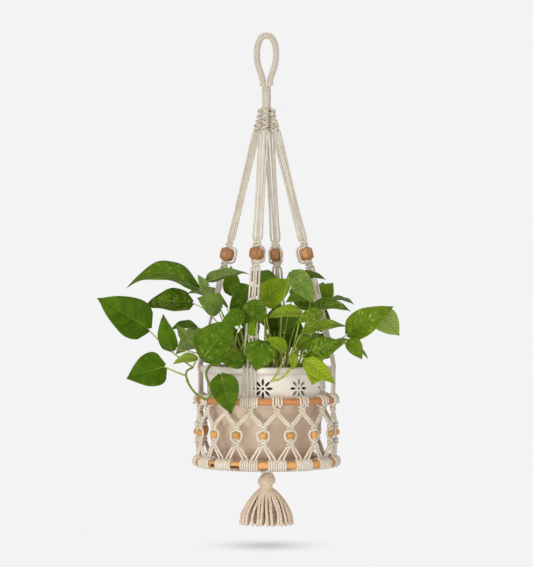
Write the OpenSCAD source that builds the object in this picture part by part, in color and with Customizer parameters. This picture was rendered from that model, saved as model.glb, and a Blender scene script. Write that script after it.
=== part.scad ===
// Hanging macrame planter with a pierced ceramic pot and a trailing plant.
// Millimetres, +Z up. The origin is where the hook bears inside the top of the hanging loop.
// Angles around the planter are measured from the front (-Y) towards the right (+X).

/* [Cord] */
// Diameter of the cotton cord
cord_d = 3.2; // [2.8:0.1:3.4]
// Angle of the first strap from the front
phase = -14; // [-20:1:-8]

/* [Hanging loop] */
// Outer diameter of the wrapped loop cord
loop_tube_d = 10; // [9:0.5:11]
// Half the loop's greatest width, to the middle of its cord
loop_half_w = 14.3; // [13:0.1:16]
// Depth of the loop's feet below the hook point
loop_drop = 70.5; // [70:0.1:71]

/* [Neck and crown] */
// Top of the gathering wrap below the hook point
neck_top = 72; // [70:1:76]
// Length of the gathering wrap
neck_len = 26; // [22:1:27]
// Outer diameter of the gathering wrap
neck_d = 13.8; // [13:0.2:15]

/* [Straps] */
// Depth below the hook point at which the straps turn upright
strap_bend_depth = 480; // [478:1:482]
// Radius of the upright part of the straps
strap_r = 102.2; // [102:0.1:103]
// How far a strap moves outward for each millimetre down
strap_slope = 0.261; // [0.255:0.001:0.265]
// Depth of the large beads below the hook point
bead_depth = 323; // [300:1:330]
// Width of a large bead
bead_w = 21; // [19:0.5:22]

/* [Cane rings] */
// Radius of the upper ring, to the middle of the cane
upper_r = 101.5; // [101:0.1:102]
// Diameter of the upper cane
upper_cane_d = 10.5; // [10:0.1:10.6]
// Depth of the upper ring below the hook point
upper_depth = 540; // [539:1:542]
// Radius of the lower ring, to the middle of the cane
lower_r = 103; // [102:0.5:104]
// Diameter of the lower cane
lower_cane_d = 11; // [10:0.1:11.2]
// Depth of the lower ring below the hook point
lower_depth = 632.5; // [630:0.5:634]

/* [Net] */
// Depth of the small beads below the hook point
net_bead_depth = 589; // [588:0.5:590]
// Diameter of a small bead
net_bead_d = 14; // [13:0.5:15]

/* [Pot and saucer] */
// Outer radius of the pot's rim
rim_r = 99.5; // [98:0.1:99.8]
// Depth of the rim's top below the hook point
rim_depth = 490; // [488:1:491]
// Thickness of the pot's wall
pot_wall = 5; // [4:0.5:6]
// Number of pierced flowers around the pot
flowers = 10; // [8:1:10]
// Outer radius of the saucer
saucer_r = 82.5; // [80:0.5:84]

/* [Tassel] */
// Width of the tassel's knot
tassel_knot_d = 27; // [25:1:29]
// Width of the tassel at its lower end
tassel_w = 84; // [70:1:90]
// Length of the loose strands below the knot
tassel_len = 54; // [45:1:58]

/* [Hidden] */
$fn = 48;
cord_r = cord_d / 2;
cotton = [0.87, 0.82, 0.74];
cane_dark = [0.8, 0.5, 0.28];
cane_light = [0.9, 0.68, 0.38];
bead_brown = [0.72, 0.45, 0.25];
glaze = [0.86, 0.82, 0.78];
leaf_green = [0.25, 0.45, 0.08];
stem_green = [0.5, 0.58, 0.18];

strap_lean = atan(strap_slope);
// Outer cords of a strap stand this far from its middle, at the crown, the beads and the ring.
crown_half = 4.4;
bead_half = 6.5;
ring_half = 9;
// The two inner cords of a strap lie side by side, and open a little towards the ring.
inner_half = cord_r + 0.05;
inner_half_ring = 3.2;
// A knot above and below each large bead.
bead_knot = [14, 8, 9];
bead_gap = 0.5;
// The outer cords pass a large bead this many degrees behind its sides.
bead_cord_turn = 46;
bead_h = bead_w * 0.93;
bead_bore_r = 3.7;
knot_offset = bead_h / 2 + bead_gap + bead_knot[2] / 2;
crown_knot_r = 5.6;
crown_knot_h = 12;
crown_1_z = -113;
crown_1_r = 8.6;
crown_2_z = -131.5;

junctions = 16;
pitch = 360 / junctions;
wrap_clear = 0.1;
upper_wrap_r = upper_cane_d / 2 + wrap_clear + cord_r;
lower_wrap_r = lower_cane_d / 2 + wrap_clear + cord_r;
ring_knot = [12, 7, 8];
ring_knot_z = -upper_depth - upper_wrap_r - cord_r - 0.4 - ring_knot[2] / 2;
net_r = 103;
net_knot = [11, 7, 6.4];
net_knot_up = net_bead_d / 2 + 0.3 + net_knot[2] / 2;
net_knot_down = net_knot_up + 2.6;
pair_near = 1.7;
pair_far = 5;
hitch_span = 15;

saucer_floor_z = -634;
saucer_h = 11;
saucer_wall = 4;
base_net_z = saucer_floor_z - saucer_wall - cord_r - 0.4;
gather_r = 35;
knot_top_z = -651;
knot_h = 23;
pot_foot_z = saucer_floor_z + 0.2;
soil_z = -503;

function unit(v) = v / norm(v);
function flat(lists) = [for (l = lists) each l];
// A point at an angle from the front, a radius, a distance to the side and a height.
function polar(a, r, side, z) = [r * sin(a) + side * cos(a), -r * cos(a) + side * sin(a), z];
// Radius of a strap's middle at a height.
function strap_at(z) = strap_r + strap_slope * min(0, -strap_bend_depth - z);
// A point on a strap's axis, a distance along it from the bead, upward positive.
function on_strap(a, side, s) =
    let (z = -bead_depth + s * cos(strap_lean)) polar(a, strap_at(z), side, z);
function curve(a, b, c, t) = (1 - t) * (1 - t) * a + 2 * t * (1 - t) * b + t * t * c;

// A straight round cord from one point to another.
module rod(p, q, r = cord_r) {
    v = q - p;
    translate(p)
        rotate([0, acos(v[2] / norm(v)), atan2(v[1], v[0])])
            cylinder(h = norm(v), r = r, $fn = 24);
}

// A closed skin over rings of points, each with the same number of points.
module skin(rings) {
    n = len(rings[0]);
    m = len(rings);
    sides = [for (i = [0:m - 2], j = [0:n - 1]) let (k = (j + 1) % n)
        each [[i * n + j, i * n + k, (i + 1) * n + k], [i * n + j, (i + 1) * n + k, (i + 1) * n + j]]];
    caps = [[for (j = [n - 1:-1:0]) j], [for (j = [0:n - 1]) (m - 1) * n + j]];
    polyhedron(points = flat(rings), faces = concat(sides, caps), convexity = 4);
}

// A skin whose last ring joins its first, with no caps.
module hollow_skin(rings) {
    n = len(rings[0]);
    m = len(rings);
    sides = [for (i = [0:m - 1], j = [0:n - 1]) let (k = (j + 1) % n, i2 = (i + 1) % m)
        each [[i * n + j, i * n + k, i2 * n + k], [i * n + j, i2 * n + k, i2 * n + j]]];
    polyhedron(points = flat(rings), faces = sides, convexity = 4);
}

// Rings of points for a round tube along a line of points.
function tube_rings(path, r, n) =
    [for (i = [0:len(path) - 1])
        let (
            t = unit(path[min(i + 1, len(path) - 1)] - path[max(i - 1, 0)]),
            u = unit(cross(t, abs(t[1]) < 0.9 ? [0, 1, 0] : [1, 0, 0])),
            w = cross(t, u)
        )
        [for (j = [0:n - 1]) path[i] + r * (cos(360 * j / n) * u - sin(360 * j / n) * w)]];

// A square knot: a block with cut corners, standing on the axis it is tied on.
module knot_block(size) {
    x = size[0] / 2;
    z = size[2] / 2;
    cut = size[2] * 0.25;
    rotate([90, 0, 0]) linear_extrude(size[1], center = true) polygon([
        [-x, -z + cut], [-x + cut, -z], [x - cut, -z], [x, -z + cut],
        [x, z - cut], [x - cut, z], [-x + cut, z], [-x, z - cut]
    ]);
}

// Places its children at a point of a strap, leaning with it; the local Y axis points inward.
module on_axis(a, s) {
    translate(on_strap(a, 0, s))
        rotate([0, 0, a])
            rotate([-strap_lean, 0, 0])
                children();
}

function strap_angle(k) = phase + 90 * (k - 1);

// ---- hanging loop ----

// Half of the loop's teardrop, from its top down to a foot: share of the half width, share of the height.
loop_outline = [
    [0, 0], [0.34, 0.013], [0.595, 0.048], [0.755, 0.111], [0.9, 0.182], [0.972, 0.25], [0.997, 0.325], [1, 0.4],
    [0.985, 0.472], [0.94, 0.54], [0.87, 0.6], [0.77, 0.66], [0.655, 0.72], [0.53, 0.785], [0.425, 0.85],
    [0.37, 0.925], [0.364, 1]
];
// A point of the loop's middle line; its legs never come closer than side by side.
function loop_point(side, p) =
    [side * (p[1] < 0.7 ? p[0] * loop_half_w : max(p[0] * loop_half_w, loop_tube_d * 0.52)), 0,
        loop_tube_d / 2 - p[1] * (loop_drop + loop_tube_d / 2)];
// The middle of the loop's cord, from the left foot over the top to the right foot.
loop_last = len(loop_outline) - 1;
loop_path = concat([for (i = [loop_last:-1:1]) loop_point(-1, loop_outline[i])],
    [for (i = [0:loop_last]) loop_point(1, loop_outline[i])]);

module loop_core() {
    color(cotton) skin(tube_rings(loop_path, loop_tube_d / 2 - cord_r * 0.95, 10));
}

// A sleeve around the core, open at both feet.
module loop_wrapping() {
    outside = tube_rings(loop_path, loop_tube_d / 2, 12);
    inside = tube_rings(loop_path, loop_tube_d / 2 - cord_r * 0.8, 12);
    last = len(loop_path) - 1;
    color(cotton) hollow_skin(concat(outside, [for (i = [last:-1:0]) inside[i]]));
}

// ---- neck ----

module gathering_wrap() {
    color(cotton) translate([0, 0, -neck_top - neck_len - 0.3])
        difference() {
            cylinder(h = neck_len, r = neck_d / 2);
            translate([0, 0, -1]) cylinder(h = neck_len + 2, r = neck_d / 2 - cord_r * 0.8);
        }
}

module neck_cords() {
    color(cotton) translate([0, 0, -neck_top - neck_len - 1])
        cylinder(h = neck_len + 0.6, r = neck_d / 2 - cord_r * 0.8 - 0.05);
}

// ---- crown ----

module round_knot(h, r) {
    intersection() {
        cylinder(h = h, r = r, center = true);
        sphere(r = norm([h / 2, r]) * 0.94);
    }
}

module crown_knot(k) {
    color(cotton) translate(polar(strap_angle(k), crown_1_r, 0, crown_1_z))
        round_knot(crown_knot_h, crown_knot_r);
}

module strap_crown_knot(k) {
    color(cotton) translate(polar(strap_angle(k), strap_at(crown_2_z), 0, crown_2_z))
        rotate([0, 0, strap_angle(k)])
            rotate([-strap_lean, 0, 0])
                round_knot(crown_knot_h, crown_knot_r);
}

// ---- straps ----

strap_top_s = (bead_depth + crown_2_z) / cos(strap_lean) - crown_knot_h / 2 - 0.4;
strap_knot_s = knot_offset + bead_knot[2] / 2 + 0.3;

module strap_upper(k) {
    a = strap_angle(k);
    color(cotton) for (side = [-1, 1]) {
        rod(on_strap(a, side * crown_half, strap_top_s), on_strap(a, side * bead_half, strap_knot_s));
        rod(on_strap(a, side * inner_half, strap_top_s), on_strap(a, side * inner_half, strap_knot_s));
    }
}

// The two knots that trap a large bead, with the inner cords in it and the outer ones behind it.
module bead_knots(k) {
    a = strap_angle(k);
    around_r = bead_w / 2 / cos(22.5) + cord_r + 0.4;
    side_x = around_r * cos(bead_cord_turn);
    side_y = around_r * sin(bead_cord_turn);
    side_half = 8;
    color(cotton) {
        for (up = [-1, 1]) on_axis(a, up * knot_offset) knot_block(bead_knot);
        for (side = [-1, 1]) {
            on_axis(a, 0) translate([side * inner_half, 0, -knot_offset])
                cylinder(h = 2 * knot_offset, r = cord_r, $fn = 24);
            on_axis(a, 0) {
                rod([side * side_x, side_y, -side_half], [side * side_x, side_y, side_half]);
                for (up = [-1, 1]) {
                    translate([side * side_x, side_y, up * side_half]) sphere(r = cord_r + 0.1, $fn = 24);
                    rod([side * side_x, side_y, up * side_half], [side * 4.5, 0, up * knot_offset]);
                }
            }
        }
    }
}

module strap_lower(k) {
    a = strap_angle(k);
    foot_z = -upper_depth + upper_wrap_r + cord_r + 0.4;
    color(cotton) for (side = [-1, 1], pair = [[bead_half, ring_half], [inner_half, inner_half_ring]]) {
        bend = polar(a, strap_r, side * pair[1], -strap_bend_depth);
        rod(on_strap(a, side * pair[0], -strap_knot_s), bend);
        translate(bend) sphere(r = cord_r + 0.08, $fn = 24);
        rod(bend, polar(a, strap_r, side * pair[1], foot_z));
    }
}

// A faceted wooden bead: three crossing eight-sided prisms, drilled for the two inner cords.
module strap_bead(k) {
    prism_r = bead_w / 2 / cos(22.5);
    color(bead_brown) on_axis(strap_angle(k), 0) difference() {
        intersection() {
            rotate([0, 0, 22.5]) cylinder(h = bead_h, r = prism_r, center = true, $fn = 8);
            rotate([90, 22.5, 0]) cylinder(h = bead_w, r = prism_r, center = true, $fn = 8);
            rotate([0, 90, 0]) rotate([0, 0, 22.5])
                cylinder(h = bead_w, r = prism_r, center = true, $fn = 8);
        }
        cylinder(h = bead_h + 2, r = bead_bore_r, center = true);
    }
}

// ---- rings and what is tied on them ----

module torus(r, tube) {
    rotate_extrude($fn = 96) translate([r, 0]) circle(r = tube);
}

// A band of cord turns around a ring's cane, centred on an angle from the front.
module band(a, span, r, cane_r, z) {
    translate([0, 0, z]) rotate([0, 0, a - 90 - span / 2])
        rotate_extrude(angle = span, $fn = 96) translate([r, 0]) difference() {
            circle(r = cane_r + wrap_clear + cord_d);
            circle(r = cane_r + wrap_clear);
        }
}

module upper_ring() {
    color(cane_dark) translate([0, 0, -upper_depth]) torus(upper_r, upper_cane_d / 2);
}

module lower_ring() {
    color(cane_light) translate([0, 0, -lower_depth]) torus(lower_r, lower_cane_d / 2);
}

module strap_hitches() {
    color(cotton) for (k = [1:4])
        band(strap_angle(k), hitch_span, upper_r, upper_cane_d / 2, -upper_depth);
}

module larks_heads() {
    strand = 1.9;
    color(cotton) for (n = [0:junctions - 1]) if (n % 4 != 0) {
        a = phase + pitch * n;
        band(a, 2 * strand, upper_r, upper_cane_d / 2, -upper_depth);
        for (side = [-1, 1]) band(a + side * 3.4, strand, upper_r, upper_cane_d / 2, -upper_depth);
    }
}

module ring_hitches() {
    color(cotton) for (n = [0:junctions - 1])
        band(phase + pitch * n, hitch_span, lower_r, lower_cane_d / 2, -lower_depth);
}

module ring_knots() {
    color(cotton) for (n = [0:junctions - 1]) {
        a = phase + pitch * n;
        translate(polar(a, upper_r, 0, ring_knot_z)) rotate([0, 0, a]) knot_block(ring_knot);
    }
}

// ---- net ----

module net_cords_upper() {
    top_z = ring_knot_z - ring_knot[2] / 2 - 1.2;
    foot_z = -net_bead_depth + net_knot_up + net_knot[2] / 2 + 1.2;
    color(cotton) for (n = [0:junctions - 1], side = [-1, 1], shift = [pair_near, pair_far]) {
        a = phase + pitch * n;
        rod(polar(a, upper_r, side * shift, top_z),
            polar(a + side * pitch / 2, net_r, -side * (pair_near + pair_far - shift), foot_z));
    }
}

module net_bead_knots() {
    side_x = net_bead_d / 2 + cord_r + 0.2;
    color(cotton) for (n = [0:junctions - 1]) {
        a = phase + pitch * (n + 0.5);
        translate(polar(a, net_r, 0, -net_bead_depth)) rotate([0, 0, a]) {
            translate([0, 0, net_knot_up]) knot_block(net_knot);
            translate([0, 0, -net_knot_down]) knot_block(net_knot);
            for (side = [-1, 1]) {
                translate([side * inner_half, 0, -net_knot_down])
                    cylinder(h = net_knot_up + net_knot_down, r = cord_r, $fn = 24);
                rod([side * side_x, 0, -3], [side * side_x, 0, 3]);
                for (end = [[3, net_knot_up], [-3, -net_knot_down]]) {
                    translate([side * side_x, 0, end[0]]) sphere(r = cord_r + 0.1, $fn = 24);
                    rod([side * side_x, 0, end[0]], [side * 3, 0, end[1]]);
                }
            }
        }
    }
}

module net_beads() {
    color(cane_light) for (n = [0:junctions - 1]) {
        a = phase + pitch * (n + 0.5);
        translate(polar(a, net_r, 0, -net_bead_depth)) difference() {
            sphere(d = net_bead_d);
            cylinder(h = net_bead_d + 2, r = inner_half + cord_r + 0.1, center = true);
        }
    }
}

module net_cords_lower() {
    top_z = -net_bead_depth - net_knot_down - net_knot[2] / 2 - 1.2;
    foot_z = -lower_depth + lower_wrap_r + cord_r + 0.6;
    color(cotton) for (n = [0:junctions - 1], side = [-1, 1], pair = [[pair_near, 10], [pair_far, 3.4]]) {
        a = phase + pitch * (n + 0.5);
        rod(polar(a, net_r, side * pair[0], top_z),
            polar(a + side * pitch / 2, lower_r, -side * pair[1], foot_z));
    }
}

module base_net() {
    outer = lower_r - lower_wrap_r - 0.6;
    color(cotton) for (n = [0:junctions - 1], i = [-1.5:1:1.5]) {
        a = phase + pitch * n + i * pitch / 4;
        rod(polar(a, outer, 0, base_net_z - 0.3), polar(a, gather_r + 0.5, 0, base_net_z));
    }
}

// The inner ends of the base cords crowd together and run down to the tassel's knot.
module base_gather() {
    top = base_net_z + cord_r;
    color(cotton) rotate_extrude($fn = 64)
        polygon([[0, top], [gather_r, top], [gather_r, top - cord_d], [12, top - cord_d - 2],
            [6, knot_top_z + 5], [0, knot_top_z + 5]]);
}

// ---- pot ----

module saucer() {
    z = saucer_floor_z;
    color(glaze) rotate_extrude($fn = 96)
        polygon([[0, z - saucer_wall], [saucer_r - 12, z - saucer_wall], [saucer_r - 3, z],
            [saucer_r, z + saucer_h - 4], [saucer_r, z + saucer_h - 3.5], [saucer_r - 3.5, z + saucer_h - 3.5],
            [saucer_r - 7, z + 1], [saucer_r - 13, z], [0, z]]);
}

// Pierced flower: eight pointed petals around a small hole, drilled along Y.
module flower() {
    petal_c = 6.6;
    rotate([90, 0, 0]) {
        for (i = [0:7]) rotate([0, 0, i * 45]) translate([9.6, 0, 0])
            intersection() {
                translate([0, petal_c, 0]) cylinder(h = 14, r = petal_c + 2, center = true);
                translate([0, -petal_c, 0]) cylinder(h = 14, r = petal_c + 2, center = true);
            }
        cylinder(h = 14, r = 2, center = true);
    }
}

module pot() {
    z = -rim_depth;
    w = pot_wall;
    color(glaze) difference() {
        rotate_extrude($fn = 96) polygon([
            [rim_r - 1.5, z], [rim_r, z - 1.5], [rim_r, z - 8], [rim_r - 2, z - 10], [91, z - 11.5],
            [89.5, z - 15], [88.5, z - 55], [84, z - 77], [80, z - 100], [73.5, z - 121],
            [66, z - 138], [63, pot_foot_z], [0, pot_foot_z],
            [0, pot_foot_z + w], [62, pot_foot_z + w], [73.5 - w, z - 121], [80 - w, z - 100],
            [84 - w, z - 77], [88.5 - w, z - 55], [89.5 - w, z - 15], [rim_r - 9, z]
        ]);
        for (n = [0:flowers - 1]) {
            a = -3.5 + 360 / flowers * n;
            translate(polar(a, 87, 0, z - 31)) rotate([0, 0, a]) flower();
        }
    }
}

module grow_pot() {
    top = soil_z + 8;
    floor_z = pot_foot_z + pot_wall + 0.5;
    color([0.08, 0.08, 0.08]) difference() {
        rotate_extrude($fn = 96) polygon([
            [82.5, top], [82.5, top - 4], [80.5, top - 4], [77.5, soil_z - 60], [60, floor_z], [0, floor_z],
            [0, floor_z + 1.6], [59, floor_z + 1.6], [75.9, soil_z - 60], [78.9, top]
        ]);
        for (a = [0:60:300]) rotate([0, 0, a]) translate([42, 0, floor_z - 1]) cylinder(h = 4, r = 4);
    }
}

module soil() {
    floor_z = pot_foot_z + pot_wall + 2.3;
    color([0.25, 0.18, 0.12]) rotate_extrude($fn = 96)
        polygon([[0, floor_z], [58.6, floor_z], [75.5, soil_z - 60], [78.2, soil_z], [0, soil_z]]);
}

// ---- plant ----

// Each leaf: base, tip, width, the way its upper face looks, the rise of its arch,
// the point its stalk comes from and the stalk's middle.
LEFT = [
    [[-175, -70, -433], [-247, -85, -388], 60, [0, -1, 0.3], 3, [-122, -72, -478], [-150, -68, -462]],
    [[-105, -20, -374], [-208, -30, -370], 50, [0, -1, 1.2], 27, [-35, -10, -502], [-62, -14, -384]],
    [[-112, -30, -396], [-182, -38, -400], 44, [0, -1, 0.8], 6, [-40, -20, -502], [-66, -24, -408]],
    [[-138, -88, -464], [-152, -92, -412], 30, [-0.4, -1, 0], 3, [-50, -36, -502], [-96, -66, -462]],
    [[-150, -78, -489], [-205, -86, -506], 52, [0, -1, 0.2], 3, [-122, -92, -504], [-135, -84, -496]],
    [[-102, -80, -476], [-137, -92, -484], 20, [0, -1, 1], 3, [-105, -84, -486], [-104, -82, -482]],
    [[-66, -124, -500], [-51, -126, -556], 42, [0, -1, 0.3], 3, [-78, -118, -527], [-75, -119, -511]],
    [[-92, -86, -476], [-46, -100, -420], 60, [-0.2, -1, 0.3], 4, [-50, -44, -502], [-72, -64, -464]],
    [[-90, -34, -374], [-102, -40, -354], 14, [0, -1, 0.3], 1, [-45, -15, -502], [-60, -20, -400]],
    [[-104, -45, -432], [-143, -55, -435], 26, [0, -0.6, 1], 4, [-45, -34, -502], [-74, -40, -446]],
    [[-118, -70, -450], [-132, -76, -428], 16, [0.3, -1, 0.2], 1, [-56, -34, -502], [-84, -60, -466]],
    [[-52, 34, -384], [-54, 38, -340], 27, [0, -1, 0], 2, [-20, 18, -502], [-40, 26, -440]],
    [[-88, -8, -364], [-26, -26, -350], 34, [0, 0.5, 1], 4, [-30, 8, -502], [-70, 0, -420]],
    [[-68, -52, -404], [-102, -58, -388], 36, [0, -1, 0.3], 3, [-40, -34, -502], [-54, -46, -440]],
    [[-26, -30, -388], [-58, -34, -370], 30, [0, -1, 0.4], 3, [-14, -14, -502], [-20, -22, -430]]
];
FRONT = [
    [[-3, -98, -402], [-44, -100, -424], 36, [0, -1, 0.3], 3, [14, -50, -502], [6, -84, -450]],
    [[-34, -112, -412], [-68, -114, -430], 26, [0, -1, 0.3], 3, [-45, -54, -502], [-52, -90, -450]],
    [[-22, -116, -442], [-20, -118, -420], 12, [0, -1, 0.1], 1, [-38, -54, -502], [-46, -94, -462]],
    [[-32, -114, -480], [-70, -112, -474], 30, [0, -1, 0.3], 3, [-31, -60, -502], [-47, -92, -456]],
    [[-6, -120, -453], [-16, -124, -494], 46, [0, -1, 0.1], 3, [16, -60, -502], [8, -102, -458]],
    [[28, -112, -462], [-2, -132, -446], 22, [0, -1, 0.5], 2, [8, -122, -506], [27, -109, -482]],
    [[-6, -40, -394], [40, -46, -361], 44, [0, -1, 0.4], 4, [8, -18, -502], [-2, -30, -440]],
    [[50, -78, -410], [-2, -82, -418], 28, [0, -0.8, 1], 5, [30, -40, -502], [46, -64, -440]],
    [[80, -76, -410], [42, -96, -426], 24, [0, -0.9, 0.6], 3, [40, -42, -502], [66, -62, -440]],
    [[66, -54, -384], [28, -66, -394], 28, [0, -1, 0.9], 4, [28, -26, -502], [60, -40, -440]],
    [[39, -114, -470], [39, -118, -492], 14, [0.2, -1, 0.1], 1, [28, -58, -502], [36, -94, -456]],
    [[76, -102, -488], [66, -112, -514], 34, [0, -1, 0.4], 2, [52, -46, -502], [70, -84, -458]],
    [[56, -108, -480], [100, -114, -512], 28, [0, -1, 0.4], 3, [36, -52, -502], [46, -90, -456]]
];
RIGHT = [
    [[44, -48, -366], [88, -52, -360], 28, [0, -0.6, 1], 8, [18, -20, -502], [28, -40, -420]],
    [[37, -76, -351], [70, -86, -396], 34, [0.2, -1, 0.2], 3, [24, -38, -502], [14, -68, -400]],
    [[84, 10, -388], [100, 8, -366], 28, [0, -1, 0.3], 3, [30, 4, -502], [66, 8, -430]],
    [[68, -58, -402], [124, -66, -406], 28, [0, -0.8, 1], 6, [36, -30, -502], [56, -48, -430]],
    [[54, -104, -438], [118, -108, -428], 30, [0, -0.7, 1], 5, [38, -46, -502], [40, -80, -446]],
    [[121, -64, -441], [186, -70, -400], 42, [0, -1, 0.4], 5, [52, -34, -502], [88, -52, -462]],
    [[166, -43, -412], [197, -46, -444], 38, [0, -1, 0.2], 3, [54, -30, -502], [128, -43, -448]],
    [[122, -84, -450], [140, -88, -478], 24, [0, -1, 0.3], 2, [54, -38, -502], [86, -70, -456]],
    [[66, -98, -467], [112, -102, -453], 34, [0, -1, 0.3], 4, [46, -50, -502], [58, -84, -458]]
];
BACK = [
    [[-62, 66, -402], [-122, 92, -380], 50, [0, 0.5, 1], 8, [-30, 40, -502], [-46, 54, -430]],
    [[-28, 62, -388], [-58, 124, -372], 52, [0, 0.3, 1], 8, [-18, 34, -502], [-22, 50, -420]],
    [[50, 44, -386], [90, 114, -378], 50, [0, 0.3, 1], 8, [20, 28, -502], [30, 38, -420]],
    [[74, 46, -402], [134, 80, -396], 46, [0.2, 0.2, 1], 7, [36, 30, -502], [56, 38, -430]],
    [[-88, 74, -448], [-140, 104, -474], 48, [-0.3, 1, 0.6], 5, [-42, 46, -502], [-66, 62, -456]],
    [[-24, 108, -452], [-30, 126, -504], 46, [0, 1, 0.3], 5, [-14, 54, -502], [-20, 88, -450]],
    [[68, 100, -446], [84, 118, -494], 44, [0.3, 1, 0.3], 5, [38, 50, -502], [56, 82, -446]],
    [[-2, 20, -372], [-16, 62, -346], 40, [0, -0.3, 1], 5, [-4, 14, -502], [-2, 16, -430]],
    [[104, 54, -456], [156, 58, -480], 40, [0.3, 0.3, 1], 5, [48, 40, -502], [78, 50, -452]],
    [[20, 74, -480], [10, 72, -428], 40, [0, -1, 0.2], 3, [8, 56, -502], [16, 70, -490]],
    [[-52, 76, -479], [-68, 78, -434], 38, [0, -1, 0.2], 3, [-34, 52, -502], [-46, 70, -490]],
    [[80, 22, -479], [92, 20, -436], 34, [0, -1, 0.2], 3, [50, 16, -502], [70, 22, -490]],
    [[52, 24, -404], [72, 26, -364], 38, [0, -1, 0.2], 3, [26, 14, -502], [38, 22, -440]],
    [[12, 60, -440], [20, 58, -396], 36, [0, -1, 0.2], 3, [8, 46, -502], [10, 58, -466]],
    [[-37, 66, -478], [-36, 69, -433], 32, [0, -1, 0.2], 3, [-26, 48, -502], [-33, 60, -488]]
];
MIDDLE = [
    [[2, -58, -472], [-32, -68, -458], 32, [0, -1, 0.4], 3, [-4, -44, -502], [0, -52, -490]],
    [[47, -66, -460], [70, -72, -448], 22, [0, -1, 0.4], 3, [26, -44, -502], [40, -54, -480]],
    [[-52, -32, -452], [-84, -40, -444], 30, [0, -1, 0.6], 3, [-30, -24, -502], [-42, -28, -470]],
    [[-12, -44, -436], [-42, -54, -424], 32, [0, -1, 0.6], 3, [-8, -26, -502], [-12, -38, -460]],
    [[20, -10, -432], [52, -16, -422], 32, [0, -1, 0.8], 3, [12, -8, -502], [18, -16, -460]],
    [[44, -4, -460], [66, -2, -448], 28, [0, -0.5, 1], 4, [26, 12, -502], [36, 4, -474]],
    [[-46, 22, -448], [-69, 24, -437], 26, [0, -0.5, 1], 4, [-26, 28, -502], [-36, 18, -470]],
    [[0, 32, -436], [-26, 46, -420], 32, [0, 0.5, 1], 4, [4, 26, -502], [2, 30, -460]],
    [[34, 42, -434], [60, 58, -422], 32, [0, 0.5, 1], 4, [28, 40, -502], [32, 42, -460]],
    [[-52, 46, -452], [-82, 58, -444], 32, [0, 0.6, 1], 4, [-36, 30, -502], [-46, 40, -470]],
    [[56, -22, -482], [84, -18, -474], 24, [0, -1, 0.8], 3, [46, -14, -502], [52, -18, -491]],
    [[-34, -2, -424], [-50, 2, -380], 34, [0, -1, 0.3], 3, [-14, 2, -502], [-26, 0, -450]],
    [[40, 30, -462], [50, 28, -422], 34, [0, -1, 0.2], 3, [28, 22, -502], [36, 28, -480]],
    [[80, 28, -438], [88, 24, -400], 30, [0, -1, 0.2], 3, [46, 20, -502], [66, 28, -462]]
];
// The trailing vine that hangs over the rim and carries three of the left leaves.
VINE = [
    [-40, -48, -501.5], [-49, -57, -488], [-64, -70, -482], [-80, -83, -485], [-88, -102, -500], [-80, -112, -524],
    [-88, -112, -535], [-104, -106, -526], [-115, -98, -510], [-117, -92, -496], [-108, -86, -490]
];
// A stalk that droops over the rim at the front right.
DROOP = [
    [31, -57, -501.5], [34, -66, -488], [41, -79, -482], [42, -94, -484], [34, -110, -492], [22, -117, -504],
    [6, -119, -509]
];

// Share of the full half-width along a leaf, from its notch to its pointed tip.
leaf_stations = [[0, 0.34], [0.08, 0.78], [0.25, 1], [0.45, 0.95], [0.65, 0.72], [0.85, 0.36], [1, 0.03]];
leaf_fold = 0.18;
leaf_thick = 1;
stalk_r = 1.2;
stalk_gap = 3;

module leaf(spec) {
    along = spec[1] - spec[0];
    a = unit(along);
    n = unit(spec[3] - (spec[3] * a) * a);
    s = cross(a, n);
    skin([for (st = leaf_stations)
        let (
            half = st[1] * spec[2] / 2,
            mid = spec[0] + st[0] * along + spec[4] * 4 * st[0] * (1 - st[0]) * n,
            up = leaf_thick / 2 * n,
            rise = leaf_fold * half * n
        )
        [mid + half * s + rise + up, mid + up, mid - half * s + rise + up,
            mid - half * s + rise - up, mid - up, mid + half * s + rise - up]]);
}

// The stalk stops a little short of its leaf.
module stalk(spec) {
    last = 1 - stalk_gap / norm(spec[0] - spec[6]) / 2;
    skin(tube_rings([for (i = [0:5]) curve(spec[5], spec[6], spec[0], i / 5 * last)], stalk_r, 6));
}

module stems() {
    color(stem_green) {
        for (spec = concat(LEFT, FRONT, RIGHT, BACK, MIDDLE)) stalk(spec);
        skin(tube_rings(VINE, 1.8, 6));
        skin(tube_rings(DROOP, 1.5, 6));
    }
}

module leaves_left() { color(leaf_green) for (spec = LEFT) leaf(spec); }
module leaves_front() { color(leaf_green) for (spec = FRONT) leaf(spec); }
module leaves_right() { color(leaf_green) for (spec = RIGHT) leaf(spec); }
module leaves_back() { color(leaf_green) for (spec = BACK) leaf(spec); }
module leaves_middle() { color(leaf_green) for (spec = MIDDLE) leaf(spec); }

// ---- tassel ----

module tassel_knot() {
    color(cotton) translate([0, 0, knot_top_z - knot_h / 2])
        intersection() {
            sphere(r = tassel_knot_d / 2);
            cylinder(h = knot_h, r = tassel_knot_d / 2, center = true);
        }
}

module tassel_strands() {
    z = knot_top_z - knot_h - 0.2;
    color(cotton) rotate_extrude($fn = 64) polygon([
        [0, z], [8, z], [tassel_w * 0.27, z - 10], [tassel_w * 0.4, z - 26],
        [tassel_w / 2, z - tassel_len], [0, z - tassel_len]
    ]);
}

loop_core();
loop_wrapping();
gathering_wrap();
neck_cords();
for (k = [1:4]) {
    crown_knot(k);
    strap_crown_knot(k);
    strap_upper(k);
    bead_knots(k);
    strap_lower(k);
    strap_bead(k);
}
upper_ring();
strap_hitches();
larks_heads();
ring_knots();
net_cords_upper();
net_bead_knots();
net_beads();
net_cords_lower();
lower_ring();
ring_hitches();
base_net();
base_gather();
saucer();
pot();
grow_pot();
soil();
stems();
leaves_left();
leaves_front();
leaves_right();
leaves_back();
leaves_middle();
tassel_knot();
tassel_strands();
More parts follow.
